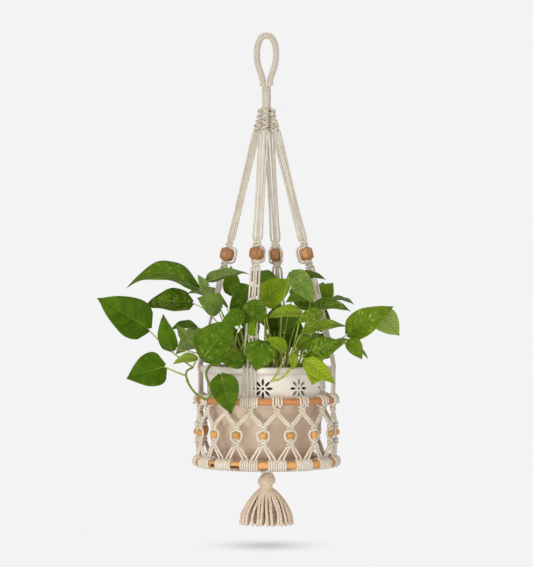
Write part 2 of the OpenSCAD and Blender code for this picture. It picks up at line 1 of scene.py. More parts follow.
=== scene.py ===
"""Looks of a hanging macrame planter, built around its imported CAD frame.

Shapes are worked out in millimetres in the CAD's frame and turned into metres as each mesh is made.
Angles around the planter are measured from the front (-Y) towards the right (+X).
"""

import math

import bmesh
import bpy
import numpy as np
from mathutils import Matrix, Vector


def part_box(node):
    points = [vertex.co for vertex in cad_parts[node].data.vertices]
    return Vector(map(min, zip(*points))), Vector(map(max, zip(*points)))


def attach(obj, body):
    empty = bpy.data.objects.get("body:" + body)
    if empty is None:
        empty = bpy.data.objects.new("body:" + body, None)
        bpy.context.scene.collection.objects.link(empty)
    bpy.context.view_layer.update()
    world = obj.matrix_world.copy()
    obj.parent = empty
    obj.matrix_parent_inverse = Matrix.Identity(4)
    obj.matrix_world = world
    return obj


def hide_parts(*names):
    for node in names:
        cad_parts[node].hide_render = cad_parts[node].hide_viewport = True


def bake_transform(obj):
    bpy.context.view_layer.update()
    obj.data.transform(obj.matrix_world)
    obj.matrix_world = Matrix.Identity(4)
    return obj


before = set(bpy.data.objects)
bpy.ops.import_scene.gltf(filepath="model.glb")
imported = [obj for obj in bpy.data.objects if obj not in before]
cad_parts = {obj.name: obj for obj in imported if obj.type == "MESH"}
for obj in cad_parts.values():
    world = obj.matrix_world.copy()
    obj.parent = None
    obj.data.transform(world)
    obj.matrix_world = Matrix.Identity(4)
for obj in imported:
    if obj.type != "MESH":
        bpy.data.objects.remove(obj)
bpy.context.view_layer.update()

MM = 0.001
TAU = 2 * math.pi


def node_box(name):
    """A CAD node's lowest and highest corners at rest, in millimetres."""
    low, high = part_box(name)
    return np.array(low, float) / MM, np.array(high, float) / MM


# ---- sizes, read from the frame where the CAD holds them ----

CORD_R = 1.6
PHASE = -14.0
JUNCTIONS = 16
PITCH = 360 / JUNCTIONS
STRAPS = 4


def ring_size(name):
    """Radius to the middle of a ring's cane, the cane's radius, and its height."""
    low, high = node_box(name)
    cane = (high[2] - low[2]) / 2
    return (high[0] - low[0]) / 2 - cane, cane, (high[2] + low[2]) / 2


UPPER_R, UPPER_CANE, UPPER_Z = ring_size("upper_ring")
LOWER_R, LOWER_CANE, LOWER_Z = ring_size("lower_ring")
NET_BEAD_R = (node_box("net_beads")[1][2] - node_box("net_beads")[0][2]) / 2
NET_BEAD_Z = node_box("net_beads")[0][2] + NET_BEAD_R
NET_R = (node_box("net_beads")[1][1] - node_box("net_beads")[0][1]) / 2 - NET_BEAD_R + 0.12
WRAP_TOP, WRAP_FOOT = node_box("gathering_wrap")[1][2], node_box("gathering_wrap")[0][2]
WRAP_R = node_box("gathering_wrap")[1][0]
LOOP_LOW, LOOP_HIGH = node_box("loop_wrapping")
KNOT_LOW, KNOT_HIGH = node_box("tassel_knot")
TASSEL_LOW, TASSEL_HIGH = node_box("tassel_strands")
SAUCER_Z = node_box("saucer")[0][2]
SOIL_LOW, SOIL_HIGH = node_box("soil")

# Half the distance between the two cords in a bead's bore, and how far above the cane a strap's cord gives
# way to its hitch.
INNER_HALF = 1.66
FOOT_GAP = 3.6
# A hitch band's four cords: where each one's turns start to the side, and how far each turn moves along.
HITCH_X = (-11.6, -5.0, 1.7, 8.3)
HITCH_SHIFT = 3.3

STRAP_BEND_Z = -480.0
STRAP_R = 102.2
STRAP_SLOPE = 0.261
BEAD_Z = -323.0
BEAD_W = 21.0
BEAD_H = 19.6
CROWN_Z = (-113.0, -131.5)
CROWN_R = 8.6
CROWN_LEAN = math.radians(6)


def strap_r(z):
    """Radius of a strap's middle at a height."""
    return STRAP_R + STRAP_SLOPE * min(0.0, STRAP_BEND_Z - z)


def polar(angle, r, side, z):
    a = math.radians(angle)
    return np.array([r * math.sin(a) + side * math.cos(a), -r * math.cos(a) + side * math.sin(a), z])


def smooth_step(t):
    t = min(max(t, 0.0), 1.0)
    return t * t * (3 - 2 * t)


# ---- camera ----

CAMERA_AWAY = 3.6
CAMERA_Z = -0.367
VIEW_HEIGHT = 0.8505


def make_camera():
    data = bpy.data.cameras.new("camera")
    data.sensor_width = 36
    data.lens = 36 * CAMERA_AWAY / VIEW_HEIGHT
    camera = bpy.data.objects.new("camera", data)
    camera.location = (0, -CAMERA_AWAY, CAMERA_Z)
    camera.rotation_euler = (math.pi / 2, 0, 0)
    bpy.context.scene.collection.objects.link(camera)
    bpy.context.scene.camera = camera


# ---- meshes ----

def ring_faces(rows, columns, closed=True):
    """Faces between rows of points that run round; closed joins the last row to the first."""
    return [(i * columns + j, (i + 1) % rows * columns + j,
             (i + 1) % rows * columns + (j + 1) % columns, i * columns + (j + 1) % columns)
            for i in range(rows if closed else rows - 1) for j in range(columns)]


class Shape:
    """Collects vertices and faces in millimetres, with named values on the vertices."""

    def __init__(self):
        self.points, self.faces, self.values, self.count = [], [], {}, 0

    def add(self, points, faces, **values):
        points = np.asarray(points, float).reshape(-1, 3)
        self.faces.extend([[i + self.count for i in f] for f in faces])
        for name, value in values.items():
            self.values.setdefault(name, []).append((self.count, np.broadcast_to(value, len(points))))
        self.points.append(points)
        self.count += len(points)

    def build(self, name, material, smooth=True):
        mesh = bpy.data.meshes.new(name)
        mesh.from_pydata((np.concatenate(self.points) * MM).tolist(), [], self.faces)
        for key, parts in self.values.items():
            data = np.zeros(self.count, np.float32)
            for start, value in parts:
                data[start:start + len(value)] = value
            mesh.attributes.new(key, "FLOAT", "POINT").data.foreach_set("value", data)
        mesh.materials.append(material)
        mesh.polygons.foreach_set("use_smooth", [smooth] * len(mesh.polygons))
        mesh.update()
        obj = bpy.data.objects.new(name, mesh)
        bpy.context.scene.collection.objects.link(obj)
        return obj


def replace_node(node, shape, name, material, body):
    """Builds a shape as the piece that stands for a CAD node, on the node's body."""
    obj = shape.build(name, material)
    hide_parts(node)
    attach(obj, body)


def spline(points, step):
    """A smooth line through points, with samples about step apart."""
    p = np.asarray(points, float)
    p = np.vstack([2 * p[0] - p[1], p, 2 * p[-1] - p[-2]])
    out = []
    for i in range(1, len(p) - 2):
        a, b, c, d = p[i - 1:i + 3]
        n = max(1, int(round(np.linalg.norm(c - b) / step)))
        t = (np.arange(n) / n)[:, None]
        m0, m1 = (c - a) / 2, (d - b) / 2
        out.append((2 * t**3 - 3 * t**2 + 1) * b + (t**3 - 2 * t**2 + t) * m0
                   + (-2 * t**3 + 3 * t**2) * c + (t**3 - t**2) * m1)
    return np.vstack([*out, p[-2:-1]])


def frames(path):
    """The way ahead along a path, and two unit vectors across it that turn as little as they can."""
    ahead = np.roll(path, -1, 0) - path
    ahead[-1] = ahead[-2]
    tangent = ahead + np.roll(ahead, 1, 0)
    tangent[0], tangent[-1] = ahead[0], ahead[-1]
    tangent /= np.maximum(np.linalg.norm(tangent, axis=1, keepdims=True), 1e-9)
    u = np.zeros_like(path)
    first = np.cross(tangent[0], [0.31, 0.17, 0.93])
    u[0] = first / np.linalg.norm(first)
    for i in range(1, len(path)):
        v = u[i - 1] - tangent[i] * (u[i - 1] @ tangent[i])
        u[i] = v / max(np.linalg.norm(v), 1e-9)
    return tangent, u, np.cross(tangent, u)


rng = np.random.default_rng(7)


def jitter(amount):
    return rng.uniform(-amount, amount)


# ---- materials ----

def srgb(r, g, b):
    """A colour given as 0 to 255 in sRGB, as linear RGBA."""
    def linear(c):
        c /= 255
        return c / 12.92 if c <= 0.04045 else ((c + 0.055) / 1.055) ** 2.4
    return (linear(r), linear(g), linear(b), 1)


class Graph:
    """A material and short calls that add nodes to it."""

    def __init__(self, name, roughness, **fixed):
        self.material = bpy.data.materials.new(name)
        self.material.use_nodes = True
        self.tree = self.material.node_tree
        self.shader = self.tree.nodes["Principled BSDF"]
        self.shader.inputs["Roughness"].default_value = roughness
        for key, value in fixed.items():
            self.shader.inputs[key.replace("_", " ")].default_value = value

    def add(self, kind, inputs=None, **settings):
        node = self.tree.nodes.new(kind)
        for key, value in settings.items():
            setattr(node, key, value)
        for key, value in (inputs or {}).items():
            if isinstance(value, bpy.types.NodeSocket):
                self.tree.links.new(value, node.inputs[key])
            else:
                node.inputs[key].default_value = value
        return node

    def value(self, name):
        return self.add("ShaderNodeAttribute", attribute_name=name).outputs["Fac"]

    def place(self):
        return self.add("ShaderNodeTexCoord").outputs["Object"]

    def combine(self, x, y, z):
        return self.add("ShaderNodeCombineXYZ", {"X": x, "Y": y, "Z": z}).outputs[0]

    def math(self, operation, a, b=0.0):
        return self.add("ShaderNodeMath", {0: a, 1: b}, operation=operation).outputs[0]

    def times(self, a, b):
        return self.math("MULTIPLY", a, b)

    def plus(self, a, b):
        return self.math("ADD", a, b)

    def noise(self, scale, vector=None, detail=3.0, roughness=0.55, distortion=0.0):
        inputs = {"Vector": vector or self.place(), "Scale": scale, "Detail": detail,
                  "Roughness": roughness, "Distortion": distortion}
        return self.add("ShaderNodeTexNoise", inputs).outputs["Fac"]

    def span(self, value, low, high):
        """Stretches a value so that low becomes 0 and high becomes 1."""
        inputs = {"Value": value, "From Min": low, "From Max": high}
        return self.add("ShaderNodeMapRange", inputs, interpolation_type="SMOOTHSTEP").outputs[0]

    def mix(self, factor, a, b):
        node = self.add("ShaderNodeMix", data_type="RGBA")
        for index, value in ((0, factor), (6, a), (7, b)):
            if isinstance(value, bpy.types.NodeSocket):
                self.tree.links.new(value, node.inputs[index])
            else:
                node.inputs[index].default_value = value
        return node.outputs[2]

    def finish(self, colour, height=None, strength=0.3, distance=0.0003, roughness=None):
        self.tree.links.new(colour, self.shader.inputs["Base Color"])
        if roughness is not None:
            self.tree.links.new(roughness, self.shader.inputs["Roughness"])
        if height is not None:
            inputs = {"Height": height, "Strength": strength, "Distance": distance}
            bump = self.add("ShaderNodeBump", inputs)
            self.tree.links.new(bump.outputs[0], self.shader.inputs["Normal"])
        return self.material


def cotton(name, light, shade):
    """Soft twisted cotton: pale yarn, with painted shade in the grooves where the plies meet, and fine loose
    fibres.
    """
    g = Graph(name, 0.92, Sheen_Weight=0.3, Sheen_Roughness=0.55, Specular_IOR_Level=0.2)
    fibres = g.noise(2600, detail=4)
    patches = g.noise(55, detail=2)
    # Painted shade: the yarn is darker in the grooves between its plies.
    colour = g.mix(g.span(g.value("groove"), 0.25, 1.0), srgb(*light), srgb(*shade))
    colour = g.mix(g.times(g.span(patches, 0.35, 0.75), 0.25), colour, srgb(*shade))
    colour = g.mix(g.times(g.span(fibres, 0.3, 0.75), 0.22), colour, srgb(250, 243, 232))
    return g.finish(colour, g.plus(fibres, g.times(g.noise(700), 1.4)), 0.55, 0.00035)


def cane(name, dark, light):
    """Lacquered rattan: long streaks, faint rings at the growth nodes and dark scorch marks."""
    g = Graph(name, 0.4, Coat_Weight=0.25, Coat_Roughness=0.25)
    along, around = g.value("along"), g.value("around")
    streak = g.noise(1.0, g.combine(g.times(along, 9.0), g.times(around, 7.0), 0.0), 5)
    fine = g.noise(1.0, g.combine(g.times(along, 40.0), g.times(around, 60.0), 3.0), 3)
    broad = g.noise(1.0, g.combine(g.times(along, 14.0), g.times(around, 0.6), 7.0), 2)
    colour = g.mix(g.span(streak, 0.3, 0.7), srgb(*dark), srgb(*light))
    colour = g.mix(g.times(g.span(broad, 0.4, 0.75), 0.5), colour, srgb(*dark))
    colour = g.mix(g.times(g.span(fine, 0.5, 0.8), 0.35), colour, srgb(150, 88, 38))
    colour = g.mix(g.times(g.value("node_mark"), 0.55), colour, srgb(120, 66, 28))
    colour = g.mix(g.value("scorch"), colour, srgb(74, 38, 17))
    return g.finish(colour, g.plus(fine, streak), 0.3, 0.0004, g.span(fine, -1.2, 1.6))


def wood(name, dark, light):
    """Turned or carved wood, with growth rings across each bead's own grain."""
    g = Graph(name, 0.5, Coat_Weight=0.12, Coat_Roughness=0.35)
    x, y, z, seed = (g.value(n) for n in ("grain_x", "grain_y", "grain_z", "seed"))
    spot = g.combine(x, y, g.times(z, 0.16))
    shift = g.combine(seed, seed, seed)
    moved = g.add("ShaderNodeVectorMath", {0: spot, 1: shift}, operation="ADD").outputs[0]
    warp = g.noise(0.25, moved, 2)
    rings = g.math("SINE", g.times(g.plus(g.plus(x, seed), g.times(warp, 7.0)), 2.6))
    fine = g.noise(1.6, moved, 5)
    pores = g.noise(5.0, moved, 2)
    colour = g.mix(g.span(rings, -0.9, 1.0), srgb(*light), srgb(*dark))
    colour = g.mix(g.times(g.span(fine, 0.35, 0.7), 0.5), colour, srgb(*light))
    colour = g.mix(g.times(g.span(pores, 0.6, 0.75), 0.6), colour, srgb(104, 58, 26))
    shade = g.times(g.span(g.math("SINE", g.times(seed, 12.9)), -1.0, 1.0), 0.45)
    colour = g.mix(shade, colour, srgb(*dark))
    return g.finish(colour, g.plus(fine, g.times(rings, 0.3)), 0.35, 0.0003)


# Heights in metres between which the pot's painted whiter top gives way to the painted shade of a darker
# beige lower down.
PAINTED_SHADE_FADE = (-0.528, -0.548)


def ceramic(name):
    """Warm white glaze, painted whiter at the top as painted light and a darker beige lower down as painted
    shade, a little uneven, with faint specks.
    """
    g = Graph(name, 0.34, Coat_Weight=0.25, Coat_Roughness=0.15)
    pool = g.noise(14, detail=3)
    speck = g.noise(420, detail=2)
    height = g.add("ShaderNodeSeparateXYZ", {"Vector": g.place()}).outputs["Z"]
    # Painted light and shade: whiter above these heights, a darker beige below them.
    thin = g.span(g.plus(height, g.times(pool, 0.012)), *PAINTED_SHADE_FADE)
    colour = g.mix(g.span(pool, 0.3, 0.7), srgb(234, 225, 212), srgb(242, 235, 224))
    colour = g.mix(thin, colour, g.mix(g.span(pool, 0.3, 0.7), srgb(208, 184, 158), srgb(220, 198, 174)))
    colour = g.mix(g.times(g.span(speck, 0.66, 0.76), 0.35), colour, srgb(160, 132, 108))
    bumps = g.plus(g.noise(60, detail=2), g.times(speck, 0.15))
    return g.finish(colour, bumps, 0.12, 0.0006, g.span(pool, -1.6, 2.4))


def plastic():
    g = Graph("nursery_plastic", 0.5)
    grain = g.noise(1500, detail=2)
    dust = g.span(g.noise(30, detail=5), 0.5, 0.8)
    colour = g.mix(g.times(dust, 0.35), srgb(28, 28, 29), srgb(88, 78, 66))
    return g.finish(colour, grain, 0.25, 0.0002, g.span(dust, -2.0, 2.2))


def peat():
    """Dark crumbly mix with paler bark and grit, by crumb."""
    g = Graph("potting_mix", 0.95, Specular_IOR_Level=0.2)
    crumbs = g.noise(420, detail=6, roughness=0.7)
    colour = g.mix(g.span(crumbs, 0.3, 0.7), srgb(30, 20, 13), srgb(84, 62, 42))
    colour = g.mix(g.times(g.value("tone"), 0.8), colour, srgb(128, 88, 54))
    return g.finish(colour, crumbs, 0.9, 0.0018)


def stalk_green():
    g = Graph("plant_stem", 0.42, Specular_IOR_Level=0.4)
    streak = g.noise(160, detail=3)
    colour = g.mix(g.span(g.value("tone"), 0.0, 1.0), srgb(104, 126, 34), srgb(186, 196, 88))
    colour = g.mix(g.times(g.span(streak, 0.35, 0.75), 0.5), colour, srgb(112, 98, 40))
    return g.finish(colour, g.noise(900, detail=2), 0.25, 0.0003)


def leaf_green():
    """A waxy leaf: its tone runs from deep to yellow green, with paler veins and cream flecks."""
    g = Graph("plant_leaf", 0.42, Specular_IOR_Level=0.34, Specular_Tint=(0.62, 0.8, 0.2, 1))
    tone, seed, t, v = (g.value(n) for n in ("tone", "seed", "leaf_t", "leaf_v"))
    vein_line = g.math("SUBTRACT", t, g.times(v, 0.2))
    wave = g.math("PINGPONG", g.times(vein_line, 9.0), 0.5)
    lateral = g.times(g.math("SUBTRACT", 1.0, g.span(wave, 0.0, 0.09)), g.span(v, 0.98, 0.4))
    midrib = g.math("SUBTRACT", 1.0, g.span(v, 0.01, 0.05))
    veins = g.math("MAXIMUM", midrib, g.times(lateral, 0.55))
    spot = g.combine(g.times(vein_line, 16.0), g.times(v, 2.4), g.times(seed, 3.7))
    cloud = g.noise(0.35, spot, 3)
    colour = g.mix(g.span(tone, 0.0, 0.45), srgb(26, 48, 2), srgb(58, 94, 5))
    colour = g.mix(g.span(tone, 0.45, 1.0), colour, srgb(150, 172, 26))
    marble = g.span(g.noise(0.55, spot, 4, 0.6, 1.2), 0.46, 0.7)
    colour = g.mix(g.times(g.span(cloud, 0.35, 0.75), 0.5), colour, srgb(98, 128, 14))
    colour = g.mix(g.times(marble, g.span(g.value("cream"), 0.0, 1.6)), colour, srgb(150, 168, 52))
    fleck = g.span(g.noise(1.3, spot, 5, 0.62, 1.0), 0.54, 0.7)
    colour = g.mix(g.times(fleck, g.value("cream")), colour, srgb(196, 204, 112))
    colour = g.mix(g.times(veins, 0.38), colour, srgb(140, 168, 56))
    colour = g.mix(g.times(g.value("under"), 0.62), colour, srgb(144, 164, 98))
    colour = g.mix(g.times(g.span(v, 0.94, 1.0), 0.3), colour, srgb(160, 172, 50))
    height = g.plus(g.times(g.noise(0.8, spot, 2), 1.2), g.times(veins, -1.6))
    return g.finish(colour, height, 0.8, 0.0008, g.span(cloud, -0.9, 1.9))


# The upper cords and the net's cords are one cotton in two copies: the upper copy is painted darker as
# painted shade, the net's copy painted lighter as painted light.
COTTON_PAINTED_DARKER = cotton("cotton_cord", (219, 210, 193), (164, 134, 102))
COTTON_NET_PAINTED_LIGHTER = cotton("cotton_net_painted_lighter", (233, 221, 202), (172, 138, 102))
COTTON_TASSEL = cotton("cotton_tassel", (234, 214, 190), (164, 124, 88))
CANE_AMBER = cane("cane_amber", (188, 112, 56), (226, 164, 104))
CANE_GOLDEN = cane("cane_golden", (222, 156, 82), (244, 190, 120))
BEAD_BROWN = wood("bead_brown", (140, 84, 42), (206, 152, 98))
BEAD_GOLDEN = wood("bead_golden", (196, 130, 58), (236, 184, 104))
GLAZE = ceramic("glazed_ceramic")
PLASTIC = plastic()
PEAT = peat()
STALK = stalk_green()
LEAF = leaf_green()


# ---- cords ----

def strand(stretches, radius=CORD_R, step=1.6, sides=12, lay=9.0, depth=0.13, tilt=0.0, shade=0.0):
    """One unbroken cord whose stretches go to different shapes: a list of shapes and points."""
    points = np.array([p for _, part in stretches for p in part], float)
    owners = [shape for shape, part in stretches for _ in part]
    ends = np.vstack([2 * points[0] - points[1], points, 2 * points[-1] - points[-2]])
    path, marks = [], []
    for i in range(1, len(ends) - 2):
        a, b, c, d = ends[i - 1:i + 3]
        n = max(1, int(round(np.linalg.norm(c - b) / step)))
        t = (np.arange(n) / n)[:, None]
        bend = ((2 * t**3 - 3 * t**2 + 1) * b + (t**3 - 2 * t**2 + t) * (c - a) / 2
                + (3 * t**2 - 2 * t**3) * c + (t**3 - t**2) * (d - b) / 2)
        path.extend(bend)
        marks.extend([owners[i]] * n)
    path.append(points[-1])
    marks.append(owners[-1])
    path = np.array(path)
    _, u, w = frames(path)
    length = np.concatenate([[0], np.cumsum(np.linalg.norm(np.diff(path, axis=0), axis=1))])
    turn = np.arange(sides) / sides * TAU
    ply = np.abs(np.cos(1.5 * (turn[None, :] - TAU * (length[:, None] + tilt) / lay)))
    groove = 1 - ply ** 0.6
    around = np.cos(turn)[None, :, None] * u[:, None, :] + np.sin(turn)[None, :, None] * w[:, None, :]
    rings = path[:, None, :] + (radius * (1 + depth * (0.35 - groove)))[:, :, None] * around
    # Painted shade: the cotton darkens the grooves by this value, and shade adds more painted shade over the
    # whole cord.
    groove = np.clip(groove + shade, 0, 1)
    start = 0
    for i in range(1, len(marks) + 1):
        if i == len(marks) or marks[i] is not marks[start]:
            emit(marks[start], rings[start:i + 1], groove[start:i + 1])
            start = i
    return length[-1]


def emit(shape, rings, groove):
    """Adds a closed tube over rings of points to a shape."""
    m, n = rings.shape[:2]
    if m < 2:
        return
    i, j = np.meshgrid(np.arange(m - 1), np.arange(n), indexing="ij")
    k = (j + 1) % n
    faces = np.stack([i * n + j, i * n + k, (i + 1) * n + k, (i + 1) * n + j], -1).reshape(-1, 4).tolist()
    faces.append(list(range(n - 1, -1, -1)))
    faces.append(list(range((m - 1) * n, m * n)))
    shape.add(rings, faces, groove=groove.reshape(-1))


# Square knots: height, half width and depth.
CROWN_KNOT = (12.5, 4.6, 4.7)
STRAP_KNOT = (13.5, 5.2, 5.4)
BEAD_KNOT = (8.6, 4.9, 3.0)
RING_KNOT = (7.4, 4.3, 2.6)
NET_KNOT = (7.4, 4.3, 2.8)


def knot_points(place, h, w, deep):
    """The two working cords of a square knot, from its top to its foot: places take side, out and up."""
    left = [place(-w * 0.8, 0.8, 0.62 * h), place(-w * 0.2, deep, 0.4 * h),
            place(w * 0.75, deep * 0.75, 0.22 * h), place(w + 0.3, 0.0, 0.0),
            place(w * 0.75, deep * 0.75, -0.22 * h), place(-w * 0.2, deep, -0.4 * h),
            place(-w * 0.8, 0.8, -0.62 * h)]
    right = [place(w * 0.85, deep * 0.5, 0.6 * h), place(w * 0.9, -deep * 0.4, 0.36 * h),
             place(0, -deep, 0.2 * h), place(-w, -0.5, 0.1 * h), place(-w * 0.95, deep * 0.85, 0.0),
             place(-w, -0.5, -0.1 * h), place(0, -deep, -0.2 * h),
             place(w * 0.9, -deep * 0.4, -0.36 * h), place(w * 0.85, deep * 0.5, -0.6 * h)]
    return left, right


def hitch_points(angle, x, shift, ring_r, cane_r, z, turns=1.5):
    """Turns of a cord round a ring's cane, from its top outward and down; x is the distance to the side."""
    wrap = cane_r + CORD_R + 0.1
    out = []
    steps = int(round(turns * 360 / 30))
    for i in range(steps + 1):
        phi = i * 30
        lap, part = divmod(phi, 360)
        move = shift * (lap + smooth_step((part - 170) / 180))
        a = angle + math.degrees((x + move) / (ring_r + 2))
        r = ring_r + wrap * math.sin(math.radians(phi))
        out.append(polar(a, r, 0, z + wrap * math.cos(math.radians(phi))))
    return out


def lark_points(angle, x, ring_r, cane_r, z):
    """One leg of a lark's head: from the bar in front, up and over the cane, and down inside it."""
    wrap = cane_r + CORD_R + 0.1
    out = []
    for phi in range(125, -181, -30):
        a = angle + math.degrees(x / (ring_r + 2))
        out.append(polar(a, ring_r + wrap * math.sin(math.radians(phi)), 0,
                         z + wrap * math.cos(math.radians(phi))))
    return out


# ---- hanging loop, neck and crown ----

LOOP_TUBE = 5.0
LOOP_WRAP_R = 1.3
LOOP_HALF_W = 14.3
# Half of the loop's teardrop, from its top down to a foot: share of the half width, share of the height.
LOOP_OUTLINE = ((0, 0), (0.34, 0.013), (0.595, 0.048), (0.755, 0.111), (0.9, 0.182), (0.972, 0.25),
                (0.997, 0.325), (1, 0.4), (0.985, 0.472), (0.94, 0.54), (0.87, 0.6), (0.77, 0.66),
                (0.655, 0.72), (0.53, 0.785), (0.425, 0.85), (0.37, 0.925), (0.364, 1))


def loop_path(step):
    """The middle of the loop's cord, from the left foot over the top to the right foot."""
    top_z, foot_z = LOOP_HIGH[2] - LOOP_TUBE, LOOP_LOW[2] + 0.4
    right = [(max(x * LOOP_HALF_W, 5.2 if t > 0.7 else 0), 0, top_z + t * (foot_z - top_z))
             for x, t in LOOP_OUTLINE]
    return spline([(-x, y, z) for x, y, z in right[:0:-1]] + right, step)


def helix(path, r, pitch):
    """Points of a winding round a path."""
    _, u, w = frames(path)
    length = np.concatenate([[0], np.cumsum(np.linalg.norm(np.diff(path, axis=0), axis=1))])
    turns = length[-1] / pitch
    count = int(turns * 14)
    at = np.linspace(0, length[-1], count)
    a = at / pitch * TAU
    middle = np.stack([np.interp(at, length, path[:, i]) for i in range(3)], 1)
    uu = np.stack([np.interp(at, length, u[:, i]) for i in range(3)], 1)
    ww = np.stack([np.interp(at, length, w[:, i]) for i in range(3)], 1)
    return middle + r * (np.cos(a)[:, None] * uu + np.sin(a)[:, None] * ww)


def make_loop():
    core = Shape()
    path = loop_path(3.0)
    _, u, w = frames(path)
    for i in range(5):
        a = i / 5 * TAU
        strand([(core, path + 1.45 * (math.cos(a) * u + math.sin(a) * w))], 1.2, step=4, sides=8)
    replace_node("loop_core", core, "loop_core_cords", COTTON_PAINTED_DARKER, "loop")
    wrap = Shape()
    turns = helix(loop_path(1.0), LOOP_TUBE - LOOP_WRAP_R - 0.05, 2.66)
    strand([(wrap, turns)], LOOP_WRAP_R, step=1.7, sides=10, lay=6.5)
    replace_node("loop_wrapping", wrap, "loop_wrapping_cord", COTTON_PAINTED_DARKER, "loop")


def make_neck():
    wrap = Shape()
    middle = np.array([(0, 0, z) for z in np.linspace(WRAP_TOP - 1.3, WRAP_FOOT + 1.3, 20)])
    strand([(wrap, helix(middle, WRAP_R - 1.35, 2.62))], 1.3, step=1.7, sides=10, lay=6.5)
    replace_node("gathering_wrap", wrap, "gathering_wrap_cord", COTTON_PAINTED_DARKER, "neck")
    cords = Shape()
    for ring, count, r in ((0, 1, 0.0), (1, 6, 2.9)):
        for i in range(count):
            a = i / max(count, 1) * TAU + ring
            x, y = r * math.cos(a), r * math.sin(a)
            line = [(x, y, z) for z in (WRAP_TOP + 0.6, -80, -90, WRAP_FOOT - 0.6)]
            strand([(cords, line)], 1.5, step=3, sides=8)
    replace_node("neck_cords", cords, "neck_cords_bundle", COTTON_PAINTED_DARKER, "neck")
    joined = Shape()
    for side in (-1, 1):
        for i in range(5):
            a = i / 5 * TAU
            foot = (side * 2.1 + 1.5 * math.cos(a), 1.9 * math.sin(a), WRAP_TOP - 3)
            middle = (side * 3.6 + 1.9 * math.cos(a), 2.2 * math.sin(a), -71.2)
            top = (side * 5.6 + 2.1 * math.cos(a), 2.1 * math.sin(a), -66)
            strand([(joined, [top, middle, foot])], 1.4, sides=10)
    obj = joined.build("loop_to_neck_cords", COTTON_PAINTED_DARKER)
    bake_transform(obj)


def on_point(angle, centre, lean):
    """Places (side, out, up) about a point of a strap, whose axis leans outward as it goes down."""
    a, b = math.radians(angle), lean
    side = np.array([math.cos(a), math.sin(a), 0])
    radial = np.array([math.sin(a), -math.cos(a), 0])
    up = math.cos(b) * np.array([0, 0, 1.0]) - math.sin(b) * radial
    out = math.cos(b) * radial + math.sin(b) * np.array([0, 0, 1.0])
    return lambda x, y, z: np.asarray(centre, float) + x * side + y * out + z * up


LEAN = math.atan(STRAP_SLOPE)


def strap_angle(k):
    return PHASE + 90 * (k - 1)


def make_crown():
    """The upper row of square knots under the neck, the cords that lead down to them, and the cords that run
    on to the second row, which the straps knot.
    """
    top = Shape()
    for k in range(1, STRAPS + 1):
        a = strap_angle(k)
        knot = Shape()
        place = on_point(a, polar(a, CROWN_R, 0, CROWN_Z[0]), CROWN_LEAN)
        left, right = knot_points(place, *CROWN_KNOT)
        for side in (-1, 1):
            fillers = [place(side * 1.4, 0.6, 6.6), place(side * 1.5, 1.2, 0), place(side * 1.4, 0.6, -6.6)]
            strand([(knot, fillers)], 1.5)
        strand([(knot, left)])
        strand([(knot, right)])
        replace_node(f"crown_knot_{k}", knot, f"crown_knot_{k}_cords", COTTON_PAINTED_DARKER, "crown")
        for i, x in enumerate((-3.4, -1.4, 1.4, 3.4)):
            start = polar(a, 3.0, x * 0.5, WRAP_FOOT + 3)
            middle = polar(a, 4.6 + 0.6 * (i % 2), x * 0.75, -103)
            strand([(top, [start, middle, place(x, 0.4, 7.2), place(x * 0.8, 0.6, 4.8)])], 1.5)
    obj = top.build("neck_to_crown_cords", COTTON_PAINTED_DARKER)
    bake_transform(obj)
    between = Shape()
    for k in range(1, STRAPS + 1):
        a = strap_angle(k)
        upper = on_point(a, polar(a, CROWN_R, 0, CROWN_Z[0]), CROWN_LEAN)
        lower = on_point(a, polar(a, strap_r(CROWN_Z[1]), 0, CROWN_Z[1]), LEAN)
        for x in (-3.5, -1.4, 1.4, 3.5):
            line = [upper(x * 0.8, 0.3, -4.5), upper(x, 0.3, -7), lower(x, 0.3, 7), lower(x * 0.8, 0.3, 4.5)]
            strand([(between, line)], 1.5)
    obj = between.build("crown_to_strap_cords", COTTON_PAINTED_DARKER)
    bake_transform(obj)


# ---- straps ----

KNOT_OFF = 14.77
# Degrees that each strap is turned about its own line from the crown to its bead: the two at the sides are
# turned about half a right angle, so that their flat faces look towards the front.
TWIST = (4, 46, -6, -54)


def turned(place, twist, low):
    """The same place turned about the strap's axis: not at all up to low, in full 90 mm above it."""
    def at(x, y, z):
        t = math.radians(twist) * smooth_step((z - low) / 90)
        return place(x * math.cos(t) - y * math.sin(t), x * math.sin(t) + y * math.cos(t), z)
    return at


# How far to the side of its strap's middle an outer and an inner cord meets the ring.
OUTER_RING = 9.0
INNER_RING = 3.2


